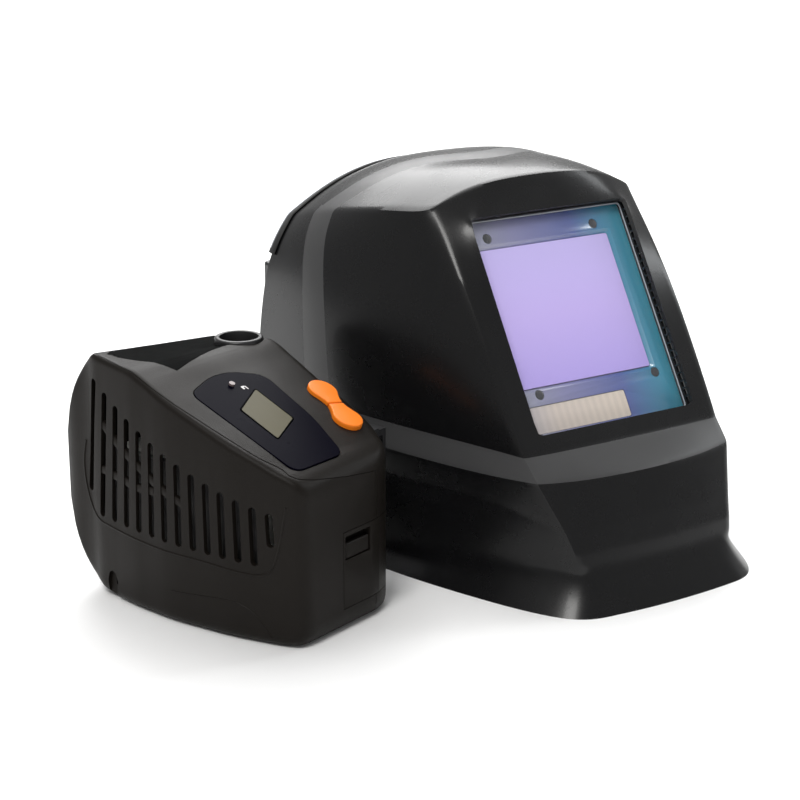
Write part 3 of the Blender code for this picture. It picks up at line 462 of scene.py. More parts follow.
BLACK = {
    "gloss": look(
        "shell_gloss_black", (0.0042, 0.0042, 0.0046), 0.27, grain=500, bump=0.02, coat=0.04, shine=0.3
    ),
    "satin": look("shell_satin_grey", (0.044, 0.044, 0.045), 0.38, grain=1500, bump=0.12, shine=0.35),
    "inside": look("shell_inside", (0.012, 0.012, 0.012), 0.6, grain=1300, bump=0.2),
    "frame": look("window_frame_black", (0.012, 0.012, 0.013), 0.42, grain=1600, bump=0.2),
    "headgear": look("headgear_nylon", (0.016, 0.016, 0.018), 0.45, grain=1500, bump=0.25),
    "rubber": look("edge_rubber", (0.01, 0.01, 0.01), 0.62, grain=1100, bump=0.2),
    "clip": look("clip_black", (0.012, 0.012, 0.013), 0.35, grain=1400, bump=0.15),
}
WARM = look("blower_warm_black", (0.0086, 0.007, 0.0057), 0.44, grain=1700, bump=0.28, vary=0.1, shine=0.11)
FACET = look("blower_facet_gloss", (0.0012, 0.0015, 0.0014), 0.5, grain=1200, bump=0.05, shine=0.005)
DARK = look("blower_inside_dark", (0.006, 0.006, 0.006), 0.8, grain=700, bump=0.3)
NAVY = look("panel_navy_gloss", (0.0016, 0.0014, 0.0052), 0.3, grain=600, bump=0.02, shine=0.015)
OLIVE = look(
    "lcd_olive", (0.062, 0.055, 0.026), 0.3, grain=400, bump=0.02, tint=(0.078, 0.069, 0.035), shine=0.1
)
ORANGE = look("button_orange", (0.85, 0.2, 0.01), 0.42, grain=1400, bump=0.12, vary=0.06, shine=0.25)
GREY = look("button_grey", (0.2, 0.2, 0.21), 0.45, grain=1400, bump=0.15)
DARK_STEEL = look(
    "arrestor_dark_steel", (0.02, 0.02, 0.02), 0.5, grain=700, bump=0.5, metallic=0.6, style="woven"
)
STEEL = look("brushed_steel", (0.42, 0.42, 0.43), 0.32, grain=260, bump=0.2, metallic=1.0, style="brushed")
BOARD = look("green_circuit_board", (0.012, 0.09, 0.03), 0.4, grain=300, bump=0.3)
MEDIA = look("filter_media", (0.55, 0.55, 0.52), 0.85, grain=260, bump=0.6, style="woven")
FOAM = look("open_foam", (0.14, 0.14, 0.135), 0.95, grain=420, bump=0.8, style="foam")
CLOTH = look("padded_cloth", (0.016, 0.016, 0.018), 0.9, grain=520, bump=0.6, style="woven")
SEAL = look("seal_cloth", (0.014, 0.014, 0.016), 0.88, grain=430, bump=0.7, style="woven")
CLEAR = clear_look("clear_polycarbonate", (0.75, 0.78, 0.85), 0.035, 0.05)
# A pale grey laid as thin lines that are painted highlights: round the cover lens's edge and along the
# shell's rear edge.
PAINTED_HIGHLIGHT = look("painted_edge_highlight", (0.5, 0.52, 0.56), 0.25, bump=0.02)
LAMP = look("status_lamp_grey", (0.16, 0.12, 0.12), 0.25, bump=0.02)
ICON = look("printed_white", (0.62, 0.6, 0.6), 0.4, bump=0.02)
CARTRIDGE = ramp_look(
    "cartridge_coating",
    (
        (0.0, (0.27, 0.28, 0.34)), (0.3, (0.19, 0.19, 0.36)), (0.66, (0.06, 0.09, 0.30)),
        (0.86, (0.02, 0.19, 0.33)), (1.0, (0.01, 0.26, 0.36)),
    ),
    0.22, "X", -59, 59, place=WINDOW,
)
LILAC = ramp_look(
    "filter_glass_lilac",
    ((0.0, (0.56, 0.48, 0.88)), (0.5, (0.53, 0.42, 0.84)), (1.0, (0.42, 0.33, 0.77))),
    0.1, "Y", 52, -40, place=WINDOW,
)
# The solar cell's beige, and its lightening across the cell, is a painted reflection; the fine lines are the
# cell's own pattern.
SOLAR_PAINTED_REFLECTION = ramp_look(
    "solar_cell_painted_reflection", ((0.0, (0.46, 0.43, 0.45)), (0.3, (0.62, 0.54, 0.48)), (1.0, (0.68, 0.59, 0.5))),
    0.35, "X", -58, 20, place=WINDOW, lines=60.0,
)
FINISHES = {
    "gloss_black": BLACK["clip"], "rubber": BLACK["rubber"], "window_frame": BLACK["frame"],
    "clear_lens": CLEAR, "cartridge_face": CARTRIDGE, "filter_glass": LILAC, "solar_cell": SOLAR_PAINTED_REFLECTION,
    "circuit_board": BOARD,
    "headgear_plastic": BLACK["headgear"], "blower_shell": WARM, "panel_gloss": NAVY, "lcd": OLIVE,
    "button_orange": ORANGE, "button_grey": GREY, "filter_media": MEDIA, "foam": FOAM, "steel": STEEL,
    "pad_fabric": CLOTH, "seal_fabric": SEAL, "shell_gloss": BLACK["gloss"],
}


def dress_nodes():
    """Gives every node that is carried over its finish."""
    for part in frame["record"]["subparts"]:
        node = NODES[part["node"]]
        node.data.materials.clear()
        node.data.materials.append(FINISHES[part["material_slot"]])
    for name, one in (("status_lamp", LAMP), ("fan_scroll", BLACK["inside"]), ("battery_latch", WARM),
                      ("spark_arrestor", DARK_STEEL)):
        NODES[name].data.materials[0] = one


# ---------------------------------------------------------------- helmet shell


GLOSS, SATIN = 0, 1


def fine_shell_cage():
    """The right half of the shell as a coarse cage with its creases, open at the window."""
    bm = bmesh.new()
    sharp = bm.edges.layers.float.new("crease_edge")
    corner = bm.verts.layers.float.new("crease_vert")
    lift = Vector((0, 0, WINDOW_HEIGHT))
    names = list(CAGE)
    grid = {
        (name, row): bm.verts.new(Vector(point) + lift)
        for name in names
        for row, point in enumerate(CAGE[name])
        if point
    }
    for left, right in zip(names, names[1:]):
        for row in range(BROW):
            ring = [grid.get(key) for key in ((left, row), (right, row), (right, row + 1), (left, row + 1))]
            if all(ring) and not (right in ("half", "jamb") and SILL <= row < HEAD):
                face = bm.faces.new(ring)
                strip = left == "strip_front" and row >= BAND_TOP
                face.material_index = SATIN if row == BAND_FOOT or strip else GLOSS
    roof = {}
    for name, points in ROOF.items():
        fronts = [grid[key, BROW] for key in ("centre", "half", "jamb")]
        made = fronts if name == "crease" else [bm.verts.new(Vector(p) + lift) for p in points]
        roof[name] = [*made, grid[name, BROW]]
    for near, far in zip(list(roof), list(roof)[1:]):
        for i in range(3):
            face = bm.faces.new((roof[near][i], roof[near][i + 1], roof[far][i + 1], roof[far][i]))
            face.material_index = SATIN if near == "strip_front" else GLOSS

    def crease(one, two, value):
        edge = bm.edges.get((one, two)) if one and two else None
        if edge:
            edge[sharp] = value

    for left, right in zip(names, names[1:]):
        for row, value in ROW_CREASES.items():
            crease(grid.get((left, row)), grid.get((right, row)), value)
        for row in (SILL, HEAD):
            if right in ("half", "jamb"):
                crease(grid[left, row], grid[right, row], 1.0)
    for row in range(FLARE, BROW):
        crease(grid["crease", row], grid["crease", row + 1], 0.7)
    for row in (SILL, SILL + 1):
        crease(grid["jamb", row], grid["jamb", row + 1], 1.0)
    for row in (SILL, HEAD):
        grid["jamb", row][corner] = 0.95
    return bm


def fine_shell():
    """The smooth helmet shell. Returns its rear edge, for the trim."""
    looks = (BLACK["gloss"], BLACK["satin"], BLACK["inside"], BLACK["inside"])
    piece = raw("helmet_shell_fine", fine_shell_cage(), HELMET, looks)
    mirror = piece.modifiers.new("other_half", "MIRROR")
    mirror.mirror_object = HELMET
    mirror.merge_threshold = 0.0001
    smooth = piece.modifiers.new("smooth", "SUBSURF")
    smooth.levels = smooth.render_levels = 3
    rim = rear_rim(piece)
    wall = piece.modifiers.new("wall", "SOLIDIFY")
    wall.thickness = SHELL_WALL * MM
    wall.offset = -1.0
    wall.material_offset = 2
    wall.material_offset_rim = 2
    combine(piece, box((400, 500, 40), (0, 0, -20)), HELMET)
    finished(piece, "helmet", ("helmet_shell",), angle=24)
    return rim


TRIM_FOOT = WINDOW_HEIGHT + 14.0  # the trim stops this high above the floor at each temple
RIM_START = 150  # the rear edge lies behind this
RIM_MIDDLE = 120  # height that the rear edge is sorted round, and pointed outward from
TRIM_SECTION = (
    (0.3, -5), (0.8, -5.4), (1.5, -5), (1.9, -4), (2.0, 0.8), (1.5, 2.0), (0.4, 2.6), (-2.6, 2.6),
    (-3.7, 2.0), (-4.3, 0.8), (-4.4, -4), (-4.0, -5), (-3.3, -5.3), (-2.8, -5), (-2.8, 0.4), (0.3, 0.4),
)  # (outward, backward) of the shell's edge


def rear_rim(shell):
    """The shell's rear edge from temple to temple over the top: point, outward and backward directions."""
    graph = bpy.context.evaluated_depsgraph_get()
    bm = bmesh.new()
    bm.from_mesh(shell.evaluated_get(graph).to_mesh())
    bmesh.ops.transform(bm, matrix=HELMET.matrix_world.inverted(), verts=bm.verts)
    stops = []
    for corner in bm.verts:
        edge_on = [edge for edge in corner.link_edges if edge.is_boundary]
        here = corner.co / MM
        if len(edge_on) != 2 or here.y < RIM_START or here.z < TRIM_FOOT:
            continue
        inner = [edge.other_vert(corner).co / MM for edge in corner.link_edges if not edge.is_boundary]
        ahead = (edge_on[0].other_vert(corner).co - edge_on[1].other_vert(corner).co).normalized()
        back = here - sum(inner, Vector()) / len(inner)
        back = (back - ahead * back.dot(ahead)).normalized()
        out = ahead.cross(back).normalized()
        if out.dot(Vector((here.x, 0, here.z - RIM_MIDDLE))) < 0:
            out = -out
        stops.append((math.atan2(here.x, here.z - RIM_MIDDLE), here, out, back))
    bm.free()
    return [stop[1:] for stop in sorted(stops, key=lambda stop: stop[0])]


def fine_trim(rim):
    """The rubber trim on the shell's rear edge, with a thin pale line along it that is a painted highlight.
    """
    piece = raw("rear_edge_trim_fine", swept(rim, TRIM_SECTION), HELMET, (BLACK["rubber"],))
    finished(piece, "helmet", ("rear_edge_trim",))
    # A thin pale line just outside the rubber edge: a painted highlight along the rim.
    thin_line = [(here + out * 1.9, out, back) for here, out, back in rim[1:-1]]
    piece = raw("rear_edge_painted_highlight", swept(thin_line, circle(0.55, 8)), HELMET, (PAINTED_HIGHLIGHT,))
    finished(piece, "helmet")


# ---------------------------------------------------------------- window


SENSOR_EYES = ((-44, 57), (36, 57), (-42, -42), (46, -42))
EYE_PROFILE = ((0.01, -9.66), (2.0, -9.72), (2.9, -9.95), (0.01, -9.95))  # (radius, height)
WALL_RIBS = 26


def fine_window():
    """The cartridge's front with a bevelled surround and four sensor eyes, the window's ribs and a painted
    highlight on the lens edge.
    """
    wide, high = WINDOW_WIDE - 2 * GAP, WINDOW_HIGH - 2 * GAP
    piece = raw("filter_front_fine", plate(oblong(wide, high, 2), -13.4, -9.75), WINDOW, (CARTRIDGE,))
    outer = rounded_frame(LCD_WIDE + 5, LCD_HIGH + 5, LCD_WIDE, LCD_HIGH)
    combine(piece, outer, WINDOW)
    combine(piece, plate(oblong(76, 17, 1.5, (-19, -57)), -60, 8), WINDOW)
    for x, y in SENSOR_EYES:
        combine(piece, rod(3.2, 40, (x, y, -12), sides=32), WINDOW)
    finished(bevelled(piece, 0.35, 2), "helmet", ("filter_front_housing",))
    for number, (x, y) in enumerate(SENSOR_EYES, 1):
        lens = raw("sensor_lens_%d" % number, turned(EYE_PROFILE, (x, y, 0)), WINDOW, (BLACK["clip"],))
        finished(lens, "helmet")
    # A pale ring round the opening: a painted highlight on the cover lens's edge.
    highlight_outline = [Vector((x, y, 0.0)) for x, y in oblong(WINDOW_WIDE - 1.2, WINDOW_HIGH - 1.2, 2.5)]
    section = ((-0.35, -7.6), (0.35, -7.6), (0.35, -7.0), (-0.35, -7.0))
    loops = []
    for p in highlight_outline:
        out = p.normalized()
        loops.append([p + out * a + Vector((0, 0, b)) for a, b in section])
    piece = raw("cover_lens_edge_painted_highlight", loft(loops, closed=True), WINDOW, (PAINTED_HIGHLIGHT,))
    finished(piece, "helmet")
    ribs = []
    for k in range(WALL_RIBS):
        y = -61.5 + 123.0 * k / (WALL_RIBS - 1)
        for side in (-1, 1):
            ribs.append(box((1.0, 1.1, 4.6), (side * (WINDOW_WIDE / 2 - 0.3), y, -3.4)))
    piece = raw("window_wall_ribs", merged(*ribs), WINDOW, (BLACK["frame"],))
    finished(piece, "helmet")


def rounded_frame(wide, high, inner_wide, inner_high):
    """A cutter that opens the display window and slopes its edge."""
    steps = (
        (wide, high, -9.0), (wide, high, -9.74),
        (inner_wide, inner_high, -12.0), (inner_wide, inner_high, -14),
    )
    loops = []
    for w, h, z in steps:
        loops.append([(x, y, z) for x, y in oblong(w, h, 2, LCD_SHIFT)])
    return loft(loops)


# ---------------------------------------------------------------- blower


def smooth_stations(step=3):
    """Catmull-Rom stations between the driving ones."""
    rows = [list(station) for station in BLOWER_STATIONS]
    out = []
    for i in range(len(rows) - 1):
        p0, p1 = rows[max(i - 1, 0)], rows[i]
        p2, p3 = rows[i + 1], rows[min(i + 2, len(rows) - 1)]
        span = p2[0] - p1[0]
        before = max(p1[0] - p0[0], 0.001)
        after = max(p3[0] - p2[0], 0.001)
        count = max(1, round(span / step))
        for k in range(count):
            t = k / count
            made = [p1[0] + span * t]
            for c in range(1, 6):
                slope = (p2[c] - p1[c]) / span
                m1 = (slope + (p1[c] - p0[c]) / before) / 2 if i else slope
                m2 = (slope + (p3[c] - p2[c]) / after) / 2 if i + 2 < len(rows) else slope
                if slope * m1 <= 0:
                    m1 = 0.0
                if slope * m2 <= 0:
                    m2 = 0.0
                m1 = math.copysign(min(abs(m1), 3 * abs(slope)), slope)
                m2 = math.copysign(min(abs(m2), 3 * abs(slope)), slope)
                h00, h10 = 2 * t**3 - 3 * t**2 + 1, t**3 - 2 * t**2 + t
                h01, h11 = -2 * t**3 + 3 * t**2, t**3 - t**2
                made.append(h00 * p1[c] + h10 * span * m1 + h01 * p2[c] + h11 * span * m2)
            out.append(made)
    out.append(rows[-1])
    return out


STATIONS = smooth_stations()


def fine_loops(inset=0.0):
    """Rounded sections of the blower's outside, or of a shape a wall's thickness inside it."""
    first, last = STATIONS[0][0], STATIONS[-1][0]
    middle = (first + last) / 2
    shrink = 1 - inset / (last - middle)
    loops = []
    for along, front, back, low, top_front, top_back in STATIONS:
        x = middle + (along - middle) * shrink
        front, back, low = front + inset, back - inset, low + inset
        room = min(back - front, top_back - inset - low) / 3
        radii = tuple(max(min(radius - inset, room), 0.5) for radius in CORNER_RADII)
        corners = ((front, low), (back, low), (back, top_back - inset), (front, top_front - inset))
        loops.append([(y, x, z) for y, z in rounded(corners, radii, 6)])
    return loops


def front_at(along):
    """Depth of the front face at a place along the blower."""
    for one, two in zip(STATIONS, STATIONS[1:]):
        if one[0] <= along <= two[0]:
            t = (along - one[0]) / (two[0] - one[0])
            return one[1] + (two[1] - one[1]) * t
    return STATIONS[-1][1]


def cover_block(shrink):
    """Everything in front of and under the seam, which parts the filter cover from the housing."""
    outline = [(-60, -60), (220, -60), *reversed(SEAM_LINE)]
    bm = plate(outline, -60, SEAM_DEPTH - shrink)
    for corner in bm.verts:
        along, up, depth = corner.co
        if up > 0:
            up -= SEAM_DROP * depth + shrink
        corner.co = (depth, along, up)
    return bm


def turned_to_depth(bm):
    """Turns a prism drawn as (along, up) so that it runs along the depth."""
    for corner in bm.verts:
        along, up, depth = corner.co
        corner.co = (depth, along, up)
    return bm


def slot_ends(index):
    """Top and bottom of one intake slot, as (along, up)."""
    t = index / (SLOT_COUNT - 1)
    along = 133.8 - SLOT_PITCH * index
    top = 132 - 80.3 * t + 26.6 * t * t
    low = 49.7 - 3.3 * t
    if index in (0, SLOT_COUNT - 1):
        low += 12.5
    return (along, top), (along + 9 * (1 - t) ** 3 - t, low)


def slot_shape(index, half, low, high):
    """A long hole with round ends through the front face, as a prism along the depth."""
    (u1, w1), (u2, w2) = slot_ends(index)
    top, foot = Vector((u1, w1)), Vector((u2, w2))
    ahead = (foot - top).normalized()
    side = Vector((-ahead.y, ahead.x))
    points = []
    for k in range(9):
        a = math.pi * k / 8
        points.append(top + ahead * half + side * half * math.cos(a) - ahead * half * math.sin(a))
    for k in range(9):
        a = math.pi * k / 8
        points.append(foot - ahead * half - side * half * math.cos(a) + ahead * half * math.sin(a))
    return turned_to_depth(plate([(p.x, p.y) for p in points], low, high))


LCD_CENTRE = (34.8, 39.7)
BATTERY_DOOR = ((36, 88), (14, 60))  # depth range and height range in the battery end
PANEL_OUTLINE = ((6, 71), (30, 78), (46, 77), (64, 67), (59.5, 25), (50, -4), (9, -4))  # (depth, along)
LCD_OUTLINE = ((47.3, 59.3), (47.3, 30.2), (22.3, 20.5), (22.3, 48.7))
BUTTON_CENTRES = ((85.3, 41.5), (78.2, 17.2))
PORT_CENTRE = (84.5, 105.0)
PORT_RADIUS, PORT_FOOT, PORT_TOP = 14.5, 128.0, 142.5


def on_face(depth, along, up):
    """A point at a height square to the sloping control face."""
    normal = Vector((0, -math.sin(TOP_SLOPE), math.cos(TOP_SLOPE)))
    return Vector((depth, along, FACE_FOOT + math.tan(TOP_SLOPE) * along)) + normal * up


def sloped(outline, low, high):
    """A flat outline of (depth, along) points, extruded square to the sloping control face."""
    bm = plate(outline, low, high)
    for corner in bm.verts:
        corner.co = on_face(*corner.co)
    return bm


def bean(centre, other, radius, reach=-0.3):
    """Half of a dumbbell: a round end with a waist towards the other half."""
    c, o = Vector(centre), Vector(other)
    ahead = (o - c).normalized()
    side = Vector((-ahead.y, ahead.x))
    half = (o - c).length / 2 + reach
    points = [c + side * -0.58 * radius + ahead * half, c + side * -0.62 * radius + ahead * (half - 3)]
    points += [
        c + (ahead * math.cos(a) + side * math.sin(a)) * radius
        for a in (math.radians(-55 - 250 * k / 28) for k in range(29))
    ]
    points += [c + side * 0.62 * radius + ahead * (half - 3), c + side * 0.58 * radius + ahead * half]
    return [(p.x, p.y) for p in points]


def doorway():
    """The hole in both halves that the battery's end shows through."""
    (d0, d1), (w0, w1) = BATTERY_DOOR
    return box((d1 - d0, 30, w1 - w0), ((d0 + d1) / 2, -12, (w0 + w1) / 2))


def fine_housing():
    """The blower's rear half, with holes for the battery, panel, buttons and hose port."""
    piece = raw("main_housing_fine", loft(fine_loops()), BLOWER, (WARM, DARK))
    combine(piece, cover_block(0.0), BLOWER)
    combine(piece, loft(fine_loops(BLOWER_WALL)), BLOWER)
    combine(piece, doorway(), BLOWER)
    combine(piece, sloped(rounded(PANEL_OUTLINE, 7, 8), -1.6, 20), BLOWER)
    for one, two in ((0, 1), (1, 0)):
        combine(piece, sloped(bean(BUTTON_CENTRES[one], BUTTON_CENTRES[two], 9.0, 1.0), -12, 20), BLOWER)
    combine(piece, rod(PORT_RADIUS + GAP, 30, (*PORT_CENTRE, PORT_TOP)), BLOWER)
    sink = facet_cutter()
    step = piece.modifiers.new("facet", "BOOLEAN")
    step.object = sink
    step.solver = "EXACT"
    step.material_mode = "TRANSFER"
    finished(piece, "blower", ("main_housing",), angle=28)


FACET_OUTLINE = (
    (-5.2, 134.5), (3, 119), (9.5, 104), (15.4, 89.2), (30, 93), (50, 97.5), (64, 99.5), (130, 101),
    (130, 200), (-5.2, 200),
)  # (depth, along)


def facet_cutter():
    """A cutter for a shallow step down over the far part of the top; its floor follows the top itself."""
    sink = raw("facet_cutter", plate(FACET_OUTLINE, 60, 200), BLOWER, (FACET,))
    lowered = loft([[(d, u, w - 0.7) for d, u, w in loop] for loop in fine_loops()])
    step = sink.modifiers.new("floor", "BOOLEAN")
    step.object = raw("facet_floor", lowered, BLOWER, (FACET,))
    step.object.hide_render = True
    step.solver = "EXACT"
    graph = bpy.context.evaluated_depsgraph_get()
    mesh = bpy.data.meshes.new_from_object(sink.evaluated_get(graph))
    bpy.data.objects.remove(step.object)
    sink.modifiers.clear()
    sink.data = mesh
    sink.hide_render = True
    return sink


def fine_cover():
    """The filter cover with its intake slots."""
    piece = raw("filter_cover_fine", loft(fine_loops()), BLOWER, (WARM,))
    combine(piece, cover_block(GAP), BLOWER, "INTERSECT")
    combine(piece, loft(fine_loops(BLOWER_WALL)), BLOWER)
    combine(piece, merged(*[slot_shape(k, 2.3, -20, 14) for k in range(SLOT_COUNT)]), BLOWER)
    combine(piece, doorway(), BLOWER)
    combine(piece, foot_notch(), BLOWER)
    finished(piece, "filter_cover", ("filter_cover",), angle=28)


def foot_notch():
    """A cutter for the small arch at the foot of the cover's round end."""
    outline = [(122.5, -5), (128.5, -5), (127.8, 12), (126.4, 16.5), (123.5, 18), (120.5, 17), (118.6, 12)]
    return turned_to_depth(plate(outline, -30, -5.6))


def on_front(points, count, lift):
    """A smooth line laid on the blower's front face, through (along, up) points."""
    row = []
    for i in range(len(points) - 1):
        p0, p1 = Vector(points[max(i - 1, 0)]), Vector(points[i])
        p2, p3 = Vector(points[i + 1]), Vector(points[min(i + 2, len(points) - 1)])
        for k in range(count):
            t = k / count
            row.append(0.5 * (2 * p1 + (p2 - p0) * t + (2 * p0 - 5 * p1 + 4 * p2 - p3) * t**2
                              + (3 * p1 - p0 - 3 * p2 + p3) * t**3))
    row.append(Vector(points[-1]))
    path = []
    for i, p in enumerate(row):
        ahead = (row[min(i + 1, len(row) - 1)] - row[max(i - 1, 0)]).normalized()
        side = Vector((0, -ahead.y, ahead.x))
        path.append((Vector((front_at(p.x) - lift, p.x, p.y)), side, Vector((-1, 0, 0))))
    return path


FRAME_LINE = (
    (146, 92), (148.5, 80), (147.5, 66), (142.5, 53), (133.9, 47), (122.2, 45.3), (86.4, 43.3), (50.2, 42.8),
    (29.9, 41.6), (16.3, 41.1), (10.3, 42.1), (5.2, 45.5), (2.4, 51.1), (-0.6, 62), (-3.2, 76.2), (-4.2, 83),
)
RIB_LINES = (
    ((132, 105.5), (126.6, 104.9), (117.5, 98.7), (98.1, 88.4), (77.9, 78.9), (62, 73)),
    ((136, 76), (129.6, 78.2), (119, 77.3), (108.8, 76.4), (99, 75), (84, 76)),
)
BELLY_LINE = (
    (72, 20.2), (60, 21), (44.1, 22.5), (32, 23.3), (24.2, 22.5), (17.5, 19.5), (12.5, 15.5), (8.5, 10.5),
    (5.1, 5.5),
)


def front_details():
    """The raised line round the grille, the two ribs behind its slots, and the crease above the foot."""
    thin_line = ((-0.9, -0.4), (0.9, -0.4), (0.55, 0.3), (0.0, 0.5), (-0.55, 0.3))
    piece = raw("grille_frame_line", swept(on_front(FRAME_LINE, 8, 0.0), thin_line), BLOWER, (WARM,))
    finished(piece, "filter_cover")
    for number, line in enumerate(RIB_LINES, 1):
        bar = ((-2.4, -3.2), (2.4, -3.2), (2.4, -0.9), (1.6, -0.5), (-1.6, -0.5), (-2.4, -0.9))
        piece = raw("grille_rib_%d" % number, swept(on_front(line, 6, 0.0), bar), BLOWER, (WARM,))
        finished(piece, "filter_cover")
    crease = ((-0.5, -0.3), (0.5, -0.3), (0.0, 0.22))
    piece = raw("foot_crease_line", swept(on_front(BELLY_LINE, 6, 0.0), crease), BLOWER, (WARM,))
    finished(piece, "filter_cover")


def control_face():
    """The glossy panel, the dark frame round its display, a small mark of three bars, and both buttons."""
    middle = Vector((sum(p[0] for p in PANEL_OUTLINE), sum(p[1] for p in PANEL_OUTLINE))) / len(PANEL_OUTLINE)
    panel = [tuple(middle + (Vector(p) - middle) * 0.985) for p in rounded(PANEL_OUTLINE, 7, 8)]
    piece = raw("control_panel_fine", sloped(panel, -1.2, 0.3), BLOWER, (NAVY,))
    combine(piece, sloped(rounded(LCD_OUTLINE, 1.5, 4), -0.3, 10), BLOWER)
    finished(bevelled(piece, 0.25, 2), "blower", ("control_panel",), angle=12)
    rim = rounded(LCD_OUTLINE, 1.5, 4)
    centre = Vector(LCD_CENTRE)
    section = ((0.1, 0.3), (-0.9, 0.3), (-0.9, 0.62), (-0.2, 0.62))
    loops = []
    for p in rim:
        out = (Vector(p) - centre).normalized()
        loops.append([on_face(*(Vector(p) + out * a), b) for a, b in section])
    piece = raw("lcd_frame_line", loft(loops, closed=True), BLOWER, (FACET,))
    finished(piece, "blower")
    marks = []
    for depth, along, wide, tall in ((40.6, 62.6, 1.3, 2.6), (41.9, 63.4, 1.0, 1.0), (43.0, 62.0, 0.7, 3.0)):
        turns = ((-1, -1), (1, -1), (1, 1), (-1, 1))
        bar = [(depth + a * wide / 2, along + b * tall / 2) for a, b in turns]
        marks.append(sloped(rounded(bar, 0.3), 0.28, 0.36))
    piece = raw("panel_mark", merged(*marks), BLOWER, (ICON,))
    finished(piece, "blower")
    for word, one, two in (("on", 0, 1), ("off", 1, 0)):
        shape = sloped(bean(BUTTON_CENTRES[one], BUTTON_CENTRES[two], 8.6), -3.2, 2.2)
        piece = raw("button_%s_fine" % word, shape, BLOWER, (ORANGE,))
        finished(bevelled(piece, 0.9, 4), "button_" + word, ("button_" + word,))


def battery_and_port():
    """The battery with a pocket for its catch, and the hose port's ring."""
    (d0, d1), (w0, w1) = BATTERY_DOOR
    depth, height = d1 - d0 - 2 * GAP, w1 - w0 - 2 * GAP
    middle = ((d0 + d1) / 2, (w0 + w1) / 2)
    piece = raw("battery_pack_fine", box((depth, 28, height), (middle[0], -11.5, middle[1])), BLOWER, (WARM,))
    combine(piece, box((40, 50, 42), (65, 25, middle[1])), BLOWER, "UNION")
    combine(piece, loft(fine_loops()), BLOWER, "INTERSECT")
    combine(piece, box((22, 9, 14), (49, -13, w1 - 10)), BLOWER)
    finished(bevelled(piece, 0.5, 2), "battery", ("battery_pack",))
    tall = PORT_TOP - PORT_FOOT
    profile = (
        (PORT_RADIUS, 0), (PORT_RADIUS, tall - 1.4), (14.3, tall - 0.7), (13.7, tall - 0.15),
        (13.0, tall), (12.2, tall),
        (11.7, tall - 0.3), (11.5, tall - 0.9), (11.5, 0),
    )
    piece = raw("hose_port_fine", turned(profile, (*PORT_CENTRE, PORT_FOOT)), BLOWER, (BLACK["clip"],))
    finished(piece, "blower", ("hose_port_ring",))


# ---------------------------------------------------------------- soft pieces


def ring_point(turn, out=0.0, up=0.0):
    """A point of the head ring. turn is 0 at the brow and runs round by the wearer's left."""
    along = Vector((0, math.cos(RING_DIP), -math.sin(RING_DIP)))
    lift = Vector((0, math.sin(RING_DIP), math.cos(RING_DIP)))
    flat = Vector((RING_HALF_WIDE * math.sin(turn), -RING_HALF_LONG * math.cos(turn)))
    normal = Vector((math.sin(turn) / RING_HALF_WIDE, -math.cos(turn) / RING_HALF_LONG)).normalized()
    flat += normal * out
    return RING_CENTRE + Vector((flat.x, 0, 0)) + along * flat.y + lift * up


def head_pad(name, start, end, inner, outer, half, quilts):
    """A cushion bent round the head ring: puffed between quilting lines, with a seam round its edge."""
    loops = []
    steps = 96
    for step in range(steps + 1):
        t = step / steps
        turn = math.radians(start + (end - start) * t)
        ends = min(1.0, math.sqrt(max(1 - abs(2 * t - 1) ** 8, 0.0)) + 0.12)
        puff = 0.78 + 0.22 * abs(math.sin(math.pi * quilts * t))
        loop = []
        for k in range(28):
            a = math.tau * k / 28
            c, s = math.cos(a), math.sin(a)
            up = half * ends * math.copysign(abs(s) ** 0.7, s)
            across = math.copysign(abs(c) ** 0.7, c)
            wrinkle = 0.25 * noise.noise(Vector((t * 22, up * 0.35, k * 0.1)))
            if across < 0:
                out = outer + (inner - outer) * (0.5 + 0.5 * -across) * (puff * ends) + wrinkle
            else:
                out = outer + (inner - outer) * 0.5 * (1 - across)
            loop.append(ring_point(turn, out, up))
        loops.append(loop)
    piece = raw(name + "_cushion", loft(loops), HELMET, (CLOTH,))
    finished(piece, "headgear", (name,), angle=70)


def face_seal_cloth():
    """The cloth skirt inside the shell's lower edge, with soft folds and a hem round its opening."""
    low, high = WINDOW_HEIGHT - 136.0, WINDOW_HEIGHT - 106.0
    half_turn = 116.0
    loops = []
    steps = 150
    for step in range(steps + 1):
        turn = math.radians(-90 + (2 * step / steps - 1) * half_turn)
        c, s = math.cos(turn), math.sin(turn)
        outer = Vector((78 * c, 20 + 88 * s, low))
        if s < 0:
            outer.x = 70 * c * (1 + 0.12 * (1 + s))
        inner = Vector((54 * c, 24 + 58 * s, high))
        across = (outer - inner).normalized()
        up = across.cross(Vector((-s, c, 0))).normalized()
        upper, under = [], []
        for k in range(13):
            t = k / 12
            uneven = 0.6 + 0.4 * noise.noise(Vector((turn * 3, t * 2, 0)))
            fold = 0.55 * math.sin(turn * 17) * math.sin(math.pi * t) * uneven
            here = outer.lerp(inner, t) + up * fold
            upper.append(here + up * 0.55)
            under.append(here - up * 0.55)
        loops.append(upper + under[::-1])
    piece = raw("face_seal_cloth", loft(loops), HELMET, (SEAL,))
    finished(piece, "helmet", ("face_seal",), angle=70)


# ---------------------------------------------------------------- studio


FLOOR_HALF = 6.0  # metres
WORLD_LIGHT = 0.42
# (name, place, aimed at, size, watts, tone), in metres
LAMPS = (
    ("key", (-1.2, -0.9, 1.9), (0, 0, 0.1), (0.7, 0.7), 27, (1, 0.99, 0.97)),
    ("over", (0.3, 1.0, 2.3), (0.1, 0.4, 0), (2.4, 1.6), 40, (1, 1, 1)),
    ("side", (1.5, -0.3, 0.9), (0.05, 0, 0.1), (0.3, 0.9), 6, (0.95, 0.98, 1)),
    ("far_floor", (1.8, 3.2, 2.4), (1.8, 3.2, 0), (3.4, 3.4), 210, (1, 1, 1)),
)


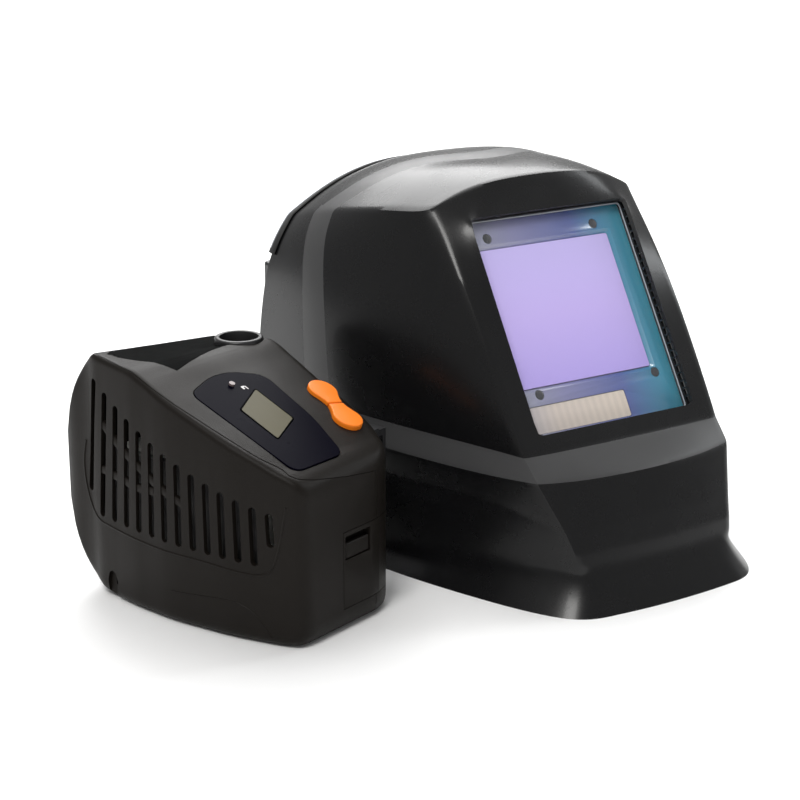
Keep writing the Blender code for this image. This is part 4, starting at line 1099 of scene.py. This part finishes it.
def studio():
    """A plain pale floor, an even white world and four soft lamps."""
    world = bpy.data.worlds.new("studio")
    bpy.context.scene.world = world
    world.use_nodes = True
    world.node_tree.nodes["Background"].inputs["Color"].default_value = (1, 1, 1, 1)
    world.node_tree.nodes["Background"].inputs["Strength"].default_value = WORLD_LIGHT
    bm = bmesh.new()
    bmesh.ops.create_grid(bm, x_segments=2, y_segments=2, size=FLOOR_HALF)
    mesh = bpy.data.meshes.new("floor")
    bm.to_mesh(mesh)
    bm.free()
    floor = bpy.data.objects.new("floor", mesh)
    bpy.context.scene.collection.objects.link(floor)
    mesh.materials.append(look("floor_white", (0.9, 0.9, 0.9), 0.7, bump=0.01, vary=0.02))
    for name, place, aim_at, size, power, tone in LAMPS:
        data = bpy.data.lights.new(name, "AREA")
        data.shape = "RECTANGLE"
        data.size, data.size_y = size
        data.energy = power
        data.color = tone
        lamp = bpy.data.objects.new(name, data)
        lamp.location = place
        lamp.rotation_euler = (Vector(aim_at) - Vector(place)).to_track_quat("-Z", "Y").to_euler()
        bpy.context.scene.collection.objects.link(lamp)


CAMERA_TURN, CAMERA_DIP = math.radians(-33.2), math.radians(17.1)
CAMERA_FROM_WINDOW = (-726.3, -909.5, 301.8)


def photo_camera():
    """The camera at the photograph's viewing angle."""
    turn, dip = CAMERA_TURN, CAMERA_DIP
    centre = Vector(HELMET_PLACE) + Vector((0, 0, WINDOW_HEIGHT))
    right = Vector((math.cos(turn), math.sin(turn), 0))
    back = Vector((math.sin(turn) * math.cos(dip), -math.cos(turn) * math.cos(dip), math.sin(dip)))
    up = back.cross(right)
    data = bpy.data.cameras.new("photo_camera")
    data.lens = 90.0
    data.sensor_width = 36.0
    data.clip_end = 50.0
    camera = bpy.data.objects.new("photo_camera", data)
    turned_to = Matrix((right, up, back)).transposed().to_4x4()
    camera.matrix_world = Matrix.Translation((centre + Vector(CAMERA_FROM_WINDOW)) * MM) @ turned_to
    bpy.context.scene.collection.objects.link(camera)
    bpy.context.scene.camera = camera
    bpy.context.scene.view_settings.view_transform = "Standard"


dress_nodes()
fine_trim(fine_shell())
fine_window()
fine_housing()
fine_cover()
front_details()
control_face()
battery_and_port()
head_pad("brow_pad", -52, 52, -10, -0.7, 15, 9)
head_pad("nape_pad", 148, 212, -11, -3.3, 14, 5)
face_seal_cloth()
studio()
photo_camera()
